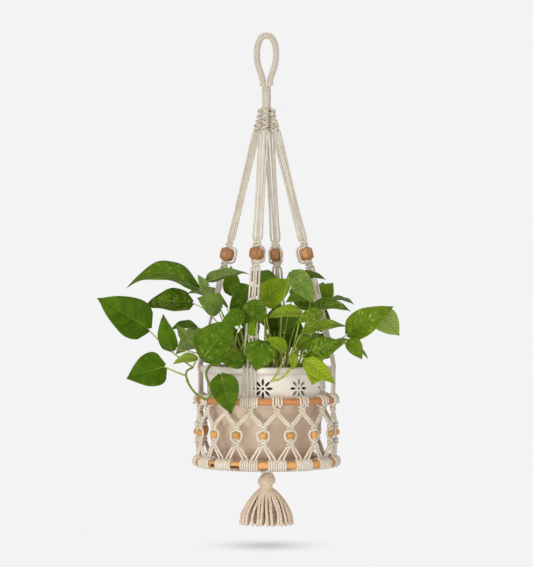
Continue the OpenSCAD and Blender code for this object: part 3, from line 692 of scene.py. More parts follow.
def make_strap(k):
    a = strap_angle(k)
    lower = {n: Shape() for n in ("strap_crown_knot", "strap_upper", "bead_knots", "strap_lower")}
    crown = turned(on_point(a, polar(a, strap_r(CROWN_Z[1]), 0, CROWN_Z[1]), LEAN), TWIST[k - 1], -300)
    bead = turned(on_point(a, polar(a, strap_r(BEAD_Z), 0, BEAD_Z), LEAN), TWIST[k - 1], -120)
    top_s = (CROWN_Z[1] - BEAD_Z) / math.cos(LEAN)
    left, right = knot_points(lambda x, y, z: crown(x, y + 1.6, z), *STRAP_KNOT)
    upper_knot = knot_points(lambda x, y, z: bead(x, y, z + KNOT_OFF), *BEAD_KNOT)
    lower_knot = knot_points(lambda x, y, z: bead(x, y, z - KNOT_OFF), *BEAD_KNOT)
    bend = lambda x: polar(a, STRAP_R - 0.8, x, STRAP_BEND_Z)
    foot_z = UPPER_Z + UPPER_CANE + FOOT_GAP
    for side, knot_top in ((-1, left), (1, right)):
        lean = 0.5 * math.sin(k * 2.1 + side)
        outer = [bead(side * 6.4, 2.4, top_s - 12), bead(side * 6.6, 2.2 + lean, top_s - 30),
                 bead(side * 5.8, 1 + lean, 110), bead(side * 5.9, lean * 0.5, 60), bead(side * 6.5, 0, 26)]
        around = [bead(side * 6.4, -4.0, 12.0), bead(side * 9.1, -9.0, 8.2), bead(side * 9.3, -9.6, 4.0),
                  bead(side * 9.3, -9.6, -4.0), bead(side * 9.1, -9.0, -8.2), bead(side * 6.4, -4.0, -12.0)]
        below = [bead(side * 6.4, 0, -25), bead(side * 7.0, 0, -70)]
        ring = [bend(side * 8.6), polar(a, STRAP_R + 0.2, side * 8.9, -500),
                polar(a, STRAP_R, side * OUTER_RING, foot_z)]
        index = 0 if side < 0 else 1
        strand([(lower["strap_crown_knot"], knot_top),
                (lower["strap_upper"], outer),
                (lower["bead_knots"], upper_knot[index] + around + lower_knot[index]),
                (lower["strap_lower"], below + ring)], tilt=3.1 * k + side)
        inner = [crown(side * 1.4, 1, 6.4), crown(side * 1.6, 2.6, 0), crown(side * 1.5, 2.2, -6)]
        high = [bead(side * 2.4, 2.2 + lean, top_s - 14), bead(side * 2.2, 1 - lean, 120),
                bead(side * 1.7, -lean, 60), bead(side * 1.7, 0, 24)]
        through = [bead(side * INNER_HALF, 0, s) for s in (16, 8, 0, -8, -16)]
        low = [bead(side * 1.7, 0, -24), bead(side * 2.0, lean, -80), bend(side * 2.9),
               polar(a, STRAP_R, side * 3.1, -500), polar(a, STRAP_R, side * INNER_RING, foot_z)]
        strand([(lower["strap_crown_knot"], inner), (lower["strap_upper"], high),
                (lower["bead_knots"], through), (lower["strap_lower"], low)], tilt=2.2 * k - side)
    for name, shape in lower.items():
        replace_node(f"{name}_{k}", shape, f"{name}_{k}_cords", COTTON_PAINTED_DARKER, "hanger")


# ---- rings ----

def make_ring(name, ring_r, cane_r, z, material, marks, seam):
    """A bent cane ring: slightly uneven, with growth nodes, scorch marks and one slanted joint."""
    around_count, sides = 300, 24
    points, along, around, node_mark, scorch = [], [], [], [], []
    nodes = [seam + 38 + 76 * i + 9 * math.sin(3.7 * i) for i in range(4)]
    for i in range(around_count):
        t = 360 * i / around_count
        near = min(abs((t - n + 180) % 360 - 180) for n in nodes)
        swell = 0.16 * math.exp(-(near / 1.2) ** 2) - 0.05
        drift = 0.18 * math.sin(math.radians(3 * t + 40)) + 0.1 * math.sin(math.radians(7 * t))
        r_here = ring_r + drift * 0.6
        for j in range(sides):
            b = TAU * j / sides
            rough = 0.05 * math.sin(5 * b + 0.07 * t) + 0.03 * math.sin(11 * b - 0.21 * t)
            joint = (t - seam + 180) % 360 - 180
            cut = math.exp(-((joint - 4.5 * math.cos(b)) / 0.16) ** 2)
            r = cane_r - 0.14 + swell + rough - 0.22 * cut
            points.append(polar(t, r_here + r * math.sin(b), 0, z + drift * 0.4 + r * math.cos(b)))
            along.append(t / 360 * TAU * ring_r / 10)
            around.append(min(j, sides - j) / sides * 2)
            node_mark.append(max(math.exp(-(near / 0.35) ** 2), cut))
            dark = 0.0
            for at, width, low, high in marks:
                off = (t - at + 180) % 360 - 180
                ragged = 0.5 + 0.5 * math.sin(1.9 * t + 4 * b) * math.sin(0.7 * t)
                if abs(off) < width * 1.6:
                    height = (b - low) / (high - low)
                    edge = 1 - smooth_step((abs(off) / width - 0.55 - 0.35 * ragged) / 0.35)
                    band = smooth_step(height * 4) * smooth_step((1 - height) * 4)
                    dark = max(dark, edge * band)
            scorch.append(dark)
    shape = Shape()
    shape.add(points, ring_faces(around_count, sides), along=along, around=around,
              node_mark=node_mark, scorch=scorch)
    replace_node(name, shape, name + "_cane", material, "hanger")


# ---- net ----

# The nodes that each cord of the net runs through.
NET_SHAPES = ("strap_hitches", "larks_heads", "ring_knots", "net_cords_upper", "net_bead_knots",
              "net_cords_lower", "ring_hitches", "base_net", "base_gather")
RING_KNOT_Z = UPPER_Z - UPPER_CANE - 2 * CORD_R - 0.5 - 4
NET_UP, NET_DOWN = 10.5, 13.1
# Height at which the base's cords have all drawn together above the tassel.
GATHERED_Z = -649.0


def gather_points(index):
    """The last stretch of a base cord, from under the saucer's rim to the tassel's knot."""
    layer = index % 4
    a = PHASE + (index - 1.5) * PITCH / 4
    z = SAUCER_Z - CORD_R - 0.4
    flat = [(a, LOWER_R - 12, z - 1.2), (a + 1, 66, z - 2.6), (a + 1.5, 50, z - 3.6)]
    inner_r = (1.6, 3.6, 5.4, 7.2)[layer]
    drop = (0.0, 1.2, 2.3, 3.2)[layer]
    turn = a + 6 + 2.5 * layer
    gather = [(a + 2, 37, z - 4.6), (a + 3, 28, z - 5.4 - 0.3 * drop), (a + 4.5, 19, z - 5.8 - 0.3 * drop),
              (turn, inner_r + 6.5, z - 6.4 - 0.3 * drop), (turn + 5, inner_r + 1.4, z - 7.2 - 0.2 * drop),
              (turn + 9, inner_r, GATHERED_Z), (turn + 12, inner_r, KNOT_HIGH[2] + 0.6)]
    return [polar(t, r, 0, h) for t, r, h in flat], [polar(t, r, 0, h) for t, r, h in gather]


def make_net():
    """Every cord of the net runs unbroken from the upper ring to the tassel's knot."""
    shapes = {n: Shape() for n in NET_SHAPES}
    joined = Shape()
    for n in range(JUNCTIONS):
        top_a = PHASE + PITCH * n
        strap = n % 4 == 0
        ring_knot = knot_points(on_point(top_a, polar(top_a, UPPER_R, 0, RING_KNOT_Z), 0), *RING_KNOT)
        knot_place = on_point(top_a, polar(top_a, UPPER_R, 0, RING_KNOT_Z), 0)
        for side in (-1, 1):
            bead_a = top_a + side * PITCH / 2
            place = on_point(bead_a, polar(bead_a, NET_R, 0, NET_BEAD_Z), 0)
            upper = knot_points(lambda x, y, z: place(x, y, z + NET_UP), *NET_KNOT)
            lower = knot_points(lambda x, y, z: place(x, y, z - NET_DOWN), *NET_KNOT)
            for worker in (True, False):
                stretches = []
                sag = 0.7 * math.sin(5.3 * n + 2.1 * side + worker)
                if strap:
                    x = side * (OUTER_RING if worker else INNER_RING)
                    order = {-OUTER_RING: 0, -INNER_RING: 1, INNER_RING: 2, OUTER_RING: 3}[x]
                    hitch = hitch_points(top_a, HITCH_X[order], HITCH_SHIFT, UPPER_R, UPPER_CANE, UPPER_Z)
                    lead = [polar(top_a, STRAP_R, x, UPPER_Z + UPPER_CANE + FOOT_GAP)]
                    stretches.append((shapes["strap_hitches"], lead + hitch))
                else:
                    x = side * (6.0 if worker else INNER_HALF)
                    bar = polar(top_a, UPPER_R + UPPER_CANE + 3.2, side * 3.8, UPPER_Z - UPPER_CANE - 0.6)
                    leg = lark_points(top_a, x, UPPER_R, UPPER_CANE, UPPER_Z)
                    stretches.append((shapes["larks_heads"], [bar] + leg))
                if worker:
                    stretches.append((shapes["ring_knots"], ring_knot[0 if side < 0 else 1]))
                else:
                    stretches.append((shapes["ring_knots"],
                                      [knot_place(side * INNER_HALF, 0, z) for z in (4.6, 0, -4.6)]))
                # A cord that works a ring knot lies still in the next bead's knots, and the other way round.
                tying = not worker
                start_x = side * (6.2 if worker else 1.9)
                end_x = -side * (6.4 if tying else 1.9)
                start = polar(top_a, UPPER_R + 0.4, start_x, RING_KNOT_Z - 7)
                end = place(end_x, 0.3, NET_UP + 5.4)
                middle = (start + end) / 2 + on_point(bead_a, (0, 0, 0), 0)(0, 0.4 + 0.3 * sag, 0)
                stretches.append((shapes["net_cords_upper"], [start, middle, end]))
                if tying:
                    index = 0 if side > 0 else 1
                    edge = -side
                    around = [place(edge * 6.6, 0, 6.2), place(edge * 8.5, -0.8, 2.4),
                              place(edge * 8.7, -0.8, -1.0), place(edge * 7.9, 0, -4.6),
                              place(edge * 6.2, 0, -7.6)]
                    stretches.append((shapes["net_bead_knots"], upper[index] + around + lower[index]))
                else:
                    stretches.append((shapes["net_bead_knots"],
                                      [place(-side * INNER_HALF, 0, z) for z in (13, 6, 0, -6, -13, -16)]))
                # Below the bead each pair turns back to the side that it came from.
                out = -side
                slot = {(1, True): 2, (1, False): 3, (-1, True): 1, (-1, False): 0}[(side, tying)]
                ring_x = (-10.0, -3.3, 3.3, 10.0)[slot]
                low_start = place(out * (6.2 if tying else 1.9), 0.3, -NET_DOWN - 4.6)
                low_end = polar(top_a, LOWER_R + 0.3, ring_x, LOWER_Z + LOWER_CANE + 4.2)
                low_mid = (low_start + low_end) / 2 + on_point(bead_a, (0, 0, 0), 0)(0, 0.4 - 0.3 * sag, 0)
                stretches.append((shapes["net_cords_lower"], [low_start, low_mid, low_end]))
                hitch = hitch_points(top_a, HITCH_X[slot], HITCH_SHIFT, LOWER_R, LOWER_CANE, LOWER_Z,
                                     turns=1.6)
                stretches.append((shapes["ring_hitches"], hitch))
                flat, gather = gather_points(n * 4 + slot)
                stretches.append((shapes["base_net"], flat))
                stretches.append((shapes["base_gather"], gather[:-2]))
                stretches.append((joined, gather[-2:]))
                strand(stretches, sides=10, tilt=1.3 * n + side)
    for name, shape in shapes.items():
        replace_node(name, shape, name + "_strands", COTTON_NET_PAINTED_LIGHTER, "hanger")
    obj = joined.build("gather_to_knot_cords", COTTON_NET_PAINTED_LIGHTER)
    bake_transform(obj)


# ---- beads ----

STRAP_BORE = 3.7
NET_BORE = 3.3

BEAD_NORMALS = [np.array(v) / math.sqrt(sum(c * c for c in v)) for v in
                ((1, 0, 0), (0, 1, 0), (0, 0, 1), (1, 1, 0), (1, -1, 0),
                 (1, 0, 1), (1, 0, -1), (0, 1, 1), (0, 1, -1))]


def faceted(direction, half_w, half_h, turn):
    """How far a cut bead reaches in a direction: flat faces with softened edges."""
    c, s = math.cos(turn), math.sin(turn)
    d = np.array([c * direction[0] + s * direction[1], -s * direction[0] + c * direction[1], direction[2]])
    total = 0.0
    for i, normal in enumerate(BEAD_NORMALS):
        half = (half_w, half_w, half_h, half_w, half_w, half_w, half_w * 0.99, half_w, half_w * 0.985)[i]
        total += (abs(d @ normal) / half) ** 26
    return total ** (-1 / 26)


def bead(shape, place, bore_r, reach, seed, around=40, rows=26):
    """A drilled bead about its own axis, where reach gives its surface's distance in a direction."""
    top = math.asin(min(0.95, (bore_r + 0.25) / reach((0.0, 0.0, 1.0))))
    profile = [("out", a) for a in np.linspace(top, math.pi - top, rows)]
    points, local = [], []
    for kind, a in profile + [("in", t) for t in (0.9, 0.45, 0.0, -0.45, -0.9)]:
        for j in range(around):
            b = TAU * j / around
            if kind == "out":
                d = (math.sin(a) * math.cos(b), math.sin(a) * math.sin(b), math.cos(a))
                r = reach(d)
                p = np.array(d) * r
            else:
                h = reach((0.0, 0.0, 1.0)) * math.cos(top)
                p = np.array([bore_r * math.cos(b), bore_r * math.sin(b), -a * h])
            local.append(p)
            points.append(place(*p))
    faces = ring_faces(len(local) // around, around)
    local = np.array(local)
    shape.add(points, faces, grain_x=local[:, 0], grain_y=local[:, 1], grain_z=local[:, 2], seed=seed)


def make_strap_beads():
    for k in range(1, STRAPS + 1):
        shape = Shape()
        a = strap_angle(k)
        turn = (0.2, 0.5, -0.15, 0.35)[k - 1]
        place = on_point(a, polar(a, strap_r(BEAD_Z), 0, BEAD_Z), LEAN)
        reach = lambda d: faceted(d, BEAD_W / 2 - 0.25, BEAD_H / 2 - 0.1, turn)
        bead(shape, place, STRAP_BORE, reach, 3.1 * k, 64, 44)
        replace_node(f"strap_bead_{k}", shape, f"strap_bead_{k}_wood", BEAD_BROWN, f"bead_{k}")


def make_net_beads():
    shape = Shape()
    for n in range(JUNCTIONS):
        a = PHASE + PITCH * (n + 0.5)
        place = on_point(a, polar(a, NET_R, 0, NET_BEAD_Z), 0)
        lean = 0.12 * math.sin(2.7 * n)
        bead(shape, place, NET_BORE,
             lambda d: NET_BEAD_R - 0.1 - 0.25 * abs(d[2]) ** 3 + 0.08 * math.sin(3 * d[0] + n) + 0.05 * lean,
             1.7 * n + 0.4, 32, 20)
    replace_node("net_beads", shape, "net_beads_wood", BEAD_GOLDEN, "hanger")


# ---- tassel ----

KNOT_R = (KNOT_HIGH[0] - KNOT_LOW[0]) / 2
KNOT_Z = (KNOT_HIGH[2] + KNOT_LOW[2]) / 2
TASSEL_R = (TASSEL_HIGH[0] - TASSEL_LOW[0]) / 2
# The tassel's layers from the outside in: strands, share of the full radius, and how much higher they start.
TASSEL_LAYERS = ((30, 1.0, 0.0), (20, 0.8, 1.5), (10, 0.52, 3.0), (4, 0.22, 3.0))


def tassel_profile(drop):
    """Radius of the tassel's outside at a depth below its knot, as a share of its length."""
    table = ((0, 0.22), (0.06, 0.31), (0.18, 0.48), (0.32, 0.64), (0.48, 0.78), (0.7, 0.92), (1.0, 1.0))
    return float(np.interp(drop, [t[0] for t in table], [t[1] for t in table])) * TASSEL_R


def make_tassel():
    knot = Shape()

    def surface(z, r=CORD_R):
        return math.sqrt(max(KNOT_R ** 2 - (z - KNOT_Z) ** 2, 30)) - r - 0.1
    for ring, count in ((0.0, 15), (1.0, 9), (2.0, 4)):
        for i in range(count):
            a = 360 * i / count + 11 * ring
            squeeze = 3.4 * ring
            line = []
            for t in (0.0, 0.25, 0.5, 0.75, 1.0):
                z = KNOT_HIGH[2] + (KNOT_LOW[2] - KNOT_HIGH[2]) * t
                line.append(polar(a + 26 * t, max(surface(z) - 2.6 - squeeze, 1), 0, z))
            strand([(knot, line)], sides=10, tilt=i)
    # A flat band of five cords makes the visible turn of the overhand knot: it climbs from the lower left
    # over the front to the upper right, goes round behind and tucks in under itself.
    for j in range(5):
        across = (j - 2) * 3.5
        line = []
        for i in range(31):
            t = i / 30
            a = -120 + 330 * t
            tuck = smooth_step(t / 0.14) * smooth_step((1 - t) / 0.14)
            z = KNOT_Z + 5.5 * math.sin(math.radians(min(max(a, -95), 95))) + across * (0.5 + 0.5 * tuck)
            z = min(max(z, KNOT_LOW[2] + 1.4), KNOT_HIGH[2] - 2.6)
            bulge = 0.8 * math.cos(across / 9) * tuck
            line.append(polar(a, (surface(z) - 0.6 + bulge) * (0.5 + 0.5 * tuck), 0, z))
        strand([(knot, line)], 1.75, sides=12, lay=8, depth=0.2, tilt=2.3 * j)
    replace_node("tassel_knot", knot, "tassel_knot_cords", COTTON_TASSEL, "tassel")

    strands = Shape()
    top = KNOT_LOW[2] + 3
    length = TASSEL_HIGH[2] - TASSEL_LOW[2]
    for layer, (count, share, lift) in enumerate(TASSEL_LAYERS):
        for i in range(count):
            a = 360 * i / count + 9 * layer + jitter(3.5)
            cut = 1.0 - 0.012 * abs(rng.normal()) - 0.015 * rng.random()
            wave, phase = rng.uniform(0.5, 1.3), rng.uniform(0, TAU)
            line = [polar(a, (3.0 + 3.6 * share), 0, top + 3)]
            for step in range(0, 12):
                t = step / 11 * cut
                r = max(tassel_profile(t) * share - CORD_R - 0.2 - 0.7 * wave * t, 1.0)
                z = TASSEL_HIGH[2] - t * length + lift * (1 - t) + CORD_R * 0.2
                sway = wave * smooth_step(t * 3) * math.sin(phase + 6.0 * t + layer)
                line.append(polar(a, r + 0.3 * wave * math.sin(2 * phase + 8 * t), sway, z))
            # Painted shade: the inner layers' strands are darker than the outer layer's.
            strand([(strands, line)], 2.0, step=2.0, sides=10, lay=9.0, depth=0.2, tilt=phase,
                   shade=0.0 if layer == 0 else 0.55)
            end = np.array(line[-1])
            down = end - np.array(line[-2])
            down /= np.linalg.norm(down)
            for _ in range(6):
                out = np.array([jitter(1.0), jitter(1.0), jitter(0.3)])
                reach = rng.uniform(0.8, 1.8)
                tip = end + down * reach + out * 0.9
                tip[2] = max(tip[2], TASSEL_LOW[2] - 1.5)
                root = end - down * 0.6 + out * 0.8
                fibre = [root, (root + tip) / 2 + 0.15 * out, tip]
                strand([(strands, fibre)], 0.28, step=1.2, sides=5, lay=50)
    replace_node("tassel_strands", strands, "tassel_strand_cords", COTTON_TASSEL, "tassel")


# ---- pot ----

def keep(node, material):
    """Gives a CAD node that stays its own finish."""
    obj = bpy.data.objects[node]
    for slot in obj.material_slots:
        slot.material = material


CHIP_FACES = ((0, 1, 3, 2), (4, 6, 7, 5), (0, 4, 5, 1), (2, 3, 7, 6), (0, 2, 6, 4), (1, 5, 7, 3))


def make_soil():
    """Crumbly potting mix with a lumpy top, and bark and grit lying on it."""
    shape = Shape()
    r_top = SOIL_HIGH[0] - 0.3
    rings, around = 22, 96
    points = []
    for i in range(rings):
        share = i / (rings - 1)
        for j in range(around):
            b = TAU * j / around
            r = r_top * share
            x, y = r * math.cos(b), r * math.sin(b)
            lump = (0.9 * math.sin(0.31 * x + 1) * math.cos(0.27 * y) + 0.6 * math.sin(0.83 * x - 0.6 * y)
                    + 0.4 * math.sin(1.9 * x + 1.3 * y))
            points.append((x, y, SOIL_HIGH[2] - 1.6 + lump * (1 - 0.6 * share)))
    faces = ring_faces(rings, around, closed=False)[around:]
    faces += [(0, around + j, around + (j + 1) % around) for j in range(around)]
    points = [points[0]] * around + points[around:]
    side_z = [SOIL_HIGH[2] - 20, SOIL_HIGH[2] - 60, SOIL_LOW[2] + 0.2]
    side_r = [r_top - 1.2, 75.2, 58.2]
    base = len(points)
    for z, r in zip(side_z, side_r):
        points += [(r * math.cos(TAU * j / around), r * math.sin(TAU * j / around), z) for j in range(around)]
    for i, first in enumerate([(rings - 1) * around] + [base + around * n for n in range(2)]):
        second = base + around * i
        faces += [(first + j, second + j, second + (j + 1) % around, first + (j + 1) % around)
                  for j in range(around)]
    faces.append(tuple(base + 2 * around + j for j in range(around - 1, -1, -1)))
    shape.add(points, faces, tone=0.0)
    for _ in range(260):
        r, b = r_top * math.sqrt(rng.random()) * 0.95, rng.uniform(0, TAU)
        size = rng.uniform(1.0, 3.2)
        chip_box = np.array([size * rng.uniform(0.7, 1.8), size, size * rng.uniform(0.3, 0.6)])
        turn = rng.uniform(0, TAU)
        tilt = jitter(0.4)
        corners = []
        for cx in (-1, 1):
            for cy in (-1, 1):
                for cz in (-1, 1):
                    p = np.array([cx, cy, cz]) * chip_box / 2 * rng.uniform(0.75, 1.1, 3)
                    p = np.array([p[0] * math.cos(turn) - p[1] * math.sin(turn),
                                  p[0] * math.sin(turn) + p[1] * math.cos(turn), p[2] + tilt * p[0]])
                    corners.append(p + (r * math.cos(b), r * math.sin(b), SOIL_HIGH[2] - 1.0))
        shape.add(corners, CHIP_FACES, tone=rng.random())
    obj = shape.build("potting_mix_top", PEAT)
    merge(obj)
    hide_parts("soil")
    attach(obj, "pot")


def merge(obj):
    """Joins vertices that lie on each other and drops flattened faces."""
    mesh = bmesh.new()
    mesh.from_mesh(obj.data)
    bmesh.ops.remove_doubles(mesh, verts=mesh.verts, dist=1e-7)
    bmesh.ops.recalc_face_normals(mesh, faces=mesh.faces)
    mesh.to_mesh(obj.data)
    mesh.free()


# ---- plant ----

# Each leaf: base, tip, width, the way its upper face looks, the rise of its arch,
# the point its stalk comes from and the stalk's middle.
LEFT = [
    [[-175, -70, -433], [-247, -85, -388], 60, [0, -1, 0.3], 3, [-122, -72, -478], [-150, -68, -462]],
    [[-105, -20, -374], [-208, -30, -370], 50, [0, -1, 1.2], 27, [-35, -10, -502], [-62, -14, -384]],
    [[-112, -30, -396], [-182, -38, -400], 44, [0, -1, 0.8], 6, [-40, -20, -502], [-66, -24, -408]],
    [[-138, -88, -464], [-152, -92, -412], 30, [-0.4, -1, 0], 3, [-50, -36, -502], [-96, -66, -462]],
    [[-150, -78, -489], [-205, -86, -506], 52, [0, -1, 0.2], 3, [-122, -92, -504], [-135, -84, -496]],
    [[-102, -80, -476], [-137, -92, -484], 20, [0, -1, 1], 3, [-105, -84, -486], [-104, -82, -482]],
    [[-66, -124, -500], [-51, -126, -556], 42, [0, -1, 0.3], 3, [-78, -118, -527], [-75, -119, -511]],
    [[-92, -86, -476], [-46, -100, -420], 60, [-0.2, -1, 0.3], 4, [-50, -44, -502], [-72, -64, -464]],
    [[-90, -34, -374], [-102, -40, -354], 14, [0, -1, 0.3], 1, [-45, -15, -502], [-60, -20, -400]],
    [[-104, -45, -432], [-143, -55, -435], 26, [0, -0.6, 1], 4, [-45, -34, -502], [-74, -40, -446]],
    [[-118, -70, -450], [-132, -76, -428], 16, [0.3, -1, 0.2], 1, [-56, -34, -502], [-84, -60, -466]],
    [[-52, 34, -384], [-54, 38, -340], 27, [0, -1, 0], 2, [-20, 18, -502], [-40, 26, -440]],
    [[-88, -8, -364], [-26, -26, -350], 34, [0, 0.5, 1], 4, [-30, 8, -502], [-70, 0, -420]],
    [[-68, -52, -404], [-102, -58, -388], 36, [0, -1, 0.3], 3, [-40, -34, -502], [-54, -46, -440]],
    [[-26, -30, -388], [-58, -34, -370], 30, [0, -1, 0.4], 3, [-14, -14, -502], [-20, -22, -430]]
]
FRONT = [
    [[-3, -98, -402], [-44, -100, -424], 36, [0, -1, 0.3], 3, [14, -50, -502], [6, -84, -450]],
    [[-34, -112, -412], [-68, -114, -430], 26, [0, -1, 0.3], 3, [-45, -54, -502], [-52, -90, -450]],
    [[-22, -116, -442], [-20, -118, -420], 12, [0, -1, 0.1], 1, [-38, -54, -502], [-46, -94, -462]],
    [[-32, -114, -480], [-70, -112, -474], 30, [0, -1, 0.3], 3, [-31, -60, -502], [-47, -92, -456]],
    [[-6, -120, -453], [-16, -124, -494], 46, [0, -1, 0.1], 3, [16, -60, -502], [8, -102, -458]],
    [[28, -112, -462], [-2, -132, -446], 22, [0, -1, 0.5], 2, [8, -122, -506], [27, -109, -482]],
    [[-6, -40, -394], [40, -46, -361], 44, [0, -1, 0.4], 4, [8, -18, -502], [-2, -30, -440]],
    [[50, -78, -410], [-2, -82, -418], 28, [0, -0.8, 1], 5, [30, -40, -502], [46, -64, -440]],
    [[80, -76, -410], [42, -96, -426], 24, [0, -0.9, 0.6], 3, [40, -42, -502], [66, -62, -440]],
    [[66, -54, -384], [28, -66, -394], 28, [0, -1, 0.9], 4, [28, -26, -502], [60, -40, -440]],
    [[39, -114, -470], [39, -118, -492], 14, [0.2, -1, 0.1], 1, [28, -58, -502], [36, -94, -456]],
    [[76, -102, -488], [66, -112, -514], 34, [0, -1, 0.4], 2, [52, -46, -502], [70, -84, -458]],
    [[56, -108, -480], [100, -114, -512], 28, [0, -1, 0.4], 3, [36, -52, -502], [46, -90, -456]]
]
RIGHT = [
    [[44, -48, -366], [88, -52, -360], 28, [0, -0.6, 1], 8, [18, -20, -502], [28, -40, -420]],
    [[37, -76, -351], [70, -86, -396], 34, [0.2, -1, 0.2], 3, [24, -38, -502], [14, -68, -400]],
    [[84, 10, -388], [100, 8, -366], 28, [0, -1, 0.3], 3, [30, 4, -502], [66, 8, -430]],
    [[68, -58, -402], [124, -66, -406], 28, [0, -0.8, 1], 6, [36, -30, -502], [56, -48, -430]],
    [[54, -104, -438], [118, -108, -428], 30, [0, -0.7, 1], 5, [38, -46, -502], [40, -80, -446]],
    [[121, -64, -441], [186, -70, -400], 42, [0, -1, 0.4], 5, [52, -34, -502], [88, -52, -462]],
    [[166, -43, -412], [197, -46, -444], 38, [0, -1, 0.2], 3, [54, -30, -502], [128, -43, -448]],
    [[122, -84, -450], [140, -88, -478], 24, [0, -1, 0.3], 2, [54, -38, -502], [86, -70, -456]],
    [[66, -98, -467], [112, -102, -453], 34, [0, -1, 0.3], 4, [46, -50, -502], [58, -84, -458]]
]
BACK = [
    [[-62, 66, -402], [-122, 92, -380], 50, [0, 0.5, 1], 8, [-30, 40, -502], [-46, 54, -430]],
    [[-28, 62, -388], [-58, 124, -372], 52, [0, 0.3, 1], 8, [-18, 34, -502], [-22, 50, -420]],
    [[50, 44, -386], [90, 114, -378], 50, [0, 0.3, 1], 8, [20, 28, -502], [30, 38, -420]],
    [[74, 46, -402], [134, 80, -396], 46, [0.2, 0.2, 1], 7, [36, 30, -502], [56, 38, -430]],
    [[-88, 74, -448], [-140, 104, -474], 48, [-0.3, 1, 0.6], 5, [-42, 46, -502], [-66, 62, -456]],
    [[-24, 108, -452], [-30, 126, -504], 46, [0, 1, 0.3], 5, [-14, 54, -502], [-20, 88, -450]],
    [[68, 100, -446], [84, 118, -494], 44, [0.3, 1, 0.3], 5, [38, 50, -502], [56, 82, -446]],
    [[-2, 20, -372], [-16, 62, -346], 40, [0, -0.3, 1], 5, [-4, 14, -502], [-2, 16, -430]],
    [[104, 54, -456], [156, 58, -480], 40, [0.3, 0.3, 1], 5, [48, 40, -502], [78, 50, -452]],
    [[20, 74, -480], [10, 72, -428], 40, [0, -1, 0.2], 3, [8, 56, -502], [16, 70, -490]],
    [[-52, 76, -479], [-68, 78, -434], 38, [0, -1, 0.2], 3, [-34, 52, -502], [-46, 70, -490]],
    [[80, 22, -479], [92, 20, -436], 34, [0, -1, 0.2], 3, [50, 16, -502], [70, 22, -490]],
    [[52, 24, -404], [72, 26, -364], 38, [0, -1, 0.2], 3, [26, 14, -502], [38, 22, -440]],
    [[12, 60, -440], [20, 58, -396], 36, [0, -1, 0.2], 3, [8, 46, -502], [10, 58, -466]],
    [[-37, 66, -478], [-36, 69, -433], 32, [0, -1, 0.2], 3, [-26, 48, -502], [-33, 60, -488]]
]
MIDDLE = [
    [[2, -58, -472], [-32, -68, -458], 32, [0, -1, 0.4], 3, [-4, -44, -502], [0, -52, -490]],
    [[47, -66, -460], [70, -72, -448], 22, [0, -1, 0.4], 3, [26, -44, -502], [40, -54, -480]],
    [[-52, -32, -452], [-84, -40, -444], 30, [0, -1, 0.6], 3, [-30, -24, -502], [-42, -28, -470]],
    [[-12, -44, -436], [-42, -54, -424], 32, [0, -1, 0.6], 3, [-8, -26, -502], [-12, -38, -460]],
    [[20, -10, -432], [52, -16, -422], 32, [0, -1, 0.8], 3, [12, -8, -502], [18, -16, -460]],
    [[44, -4, -460], [66, -2, -448], 28, [0, -0.5, 1], 4, [26, 12, -502], [36, 4, -474]],
    [[-46, 22, -448], [-69, 24, -437], 26, [0, -0.5, 1], 4, [-26, 28, -502], [-36, 18, -470]],
    [[0, 32, -436], [-26, 46, -420], 32, [0, 0.5, 1], 4, [4, 26, -502], [2, 30, -460]],
    [[34, 42, -434], [60, 58, -422], 32, [0, 0.5, 1], 4, [28, 40, -502], [32, 42, -460]],
    [[-52, 46, -452], [-82, 58, -444], 32, [0, 0.6, 1], 4, [-36, 30, -502], [-46, 40, -470]],
    [[56, -22, -482], [84, -18, -474], 24, [0, -1, 0.8], 3, [46, -14, -502], [52, -18, -491]],
    [[-34, -2, -424], [-50, 2, -380], 34, [0, -1, 0.3], 3, [-14, 2, -502], [-26, 0, -450]],
    [[40, 30, -462], [50, 28, -422], 34, [0, -1, 0.2], 3, [28, 22, -502], [36, 28, -480]],
    [[80, 28, -438], [88, 24, -400], 30, [0, -1, 0.2], 3, [46, 20, -502], [66, 28, -462]]
]
# The trailing vine that hangs over the rim and carries four of the left leaves.
VINE = [
    [-40, -48, -501.5], [-49, -57, -488], [-64, -70, -482], [-80, -83, -485], [-88, -102, -500],
    [-80, -112, -524], [-88, -112, -535], [-104, -106, -526], [-115, -98, -510], [-117, -92, -496],
    [-108, -86, -490]
]
# A stalk that droops over the rim at the front right.
DROOP = [
    [31, -57, -501.5], [34, -66, -488], [41, -79, -482], [42, -94, -484], [34, -110, -492], [22, -117, -504],
    [6, -119, -509]
]


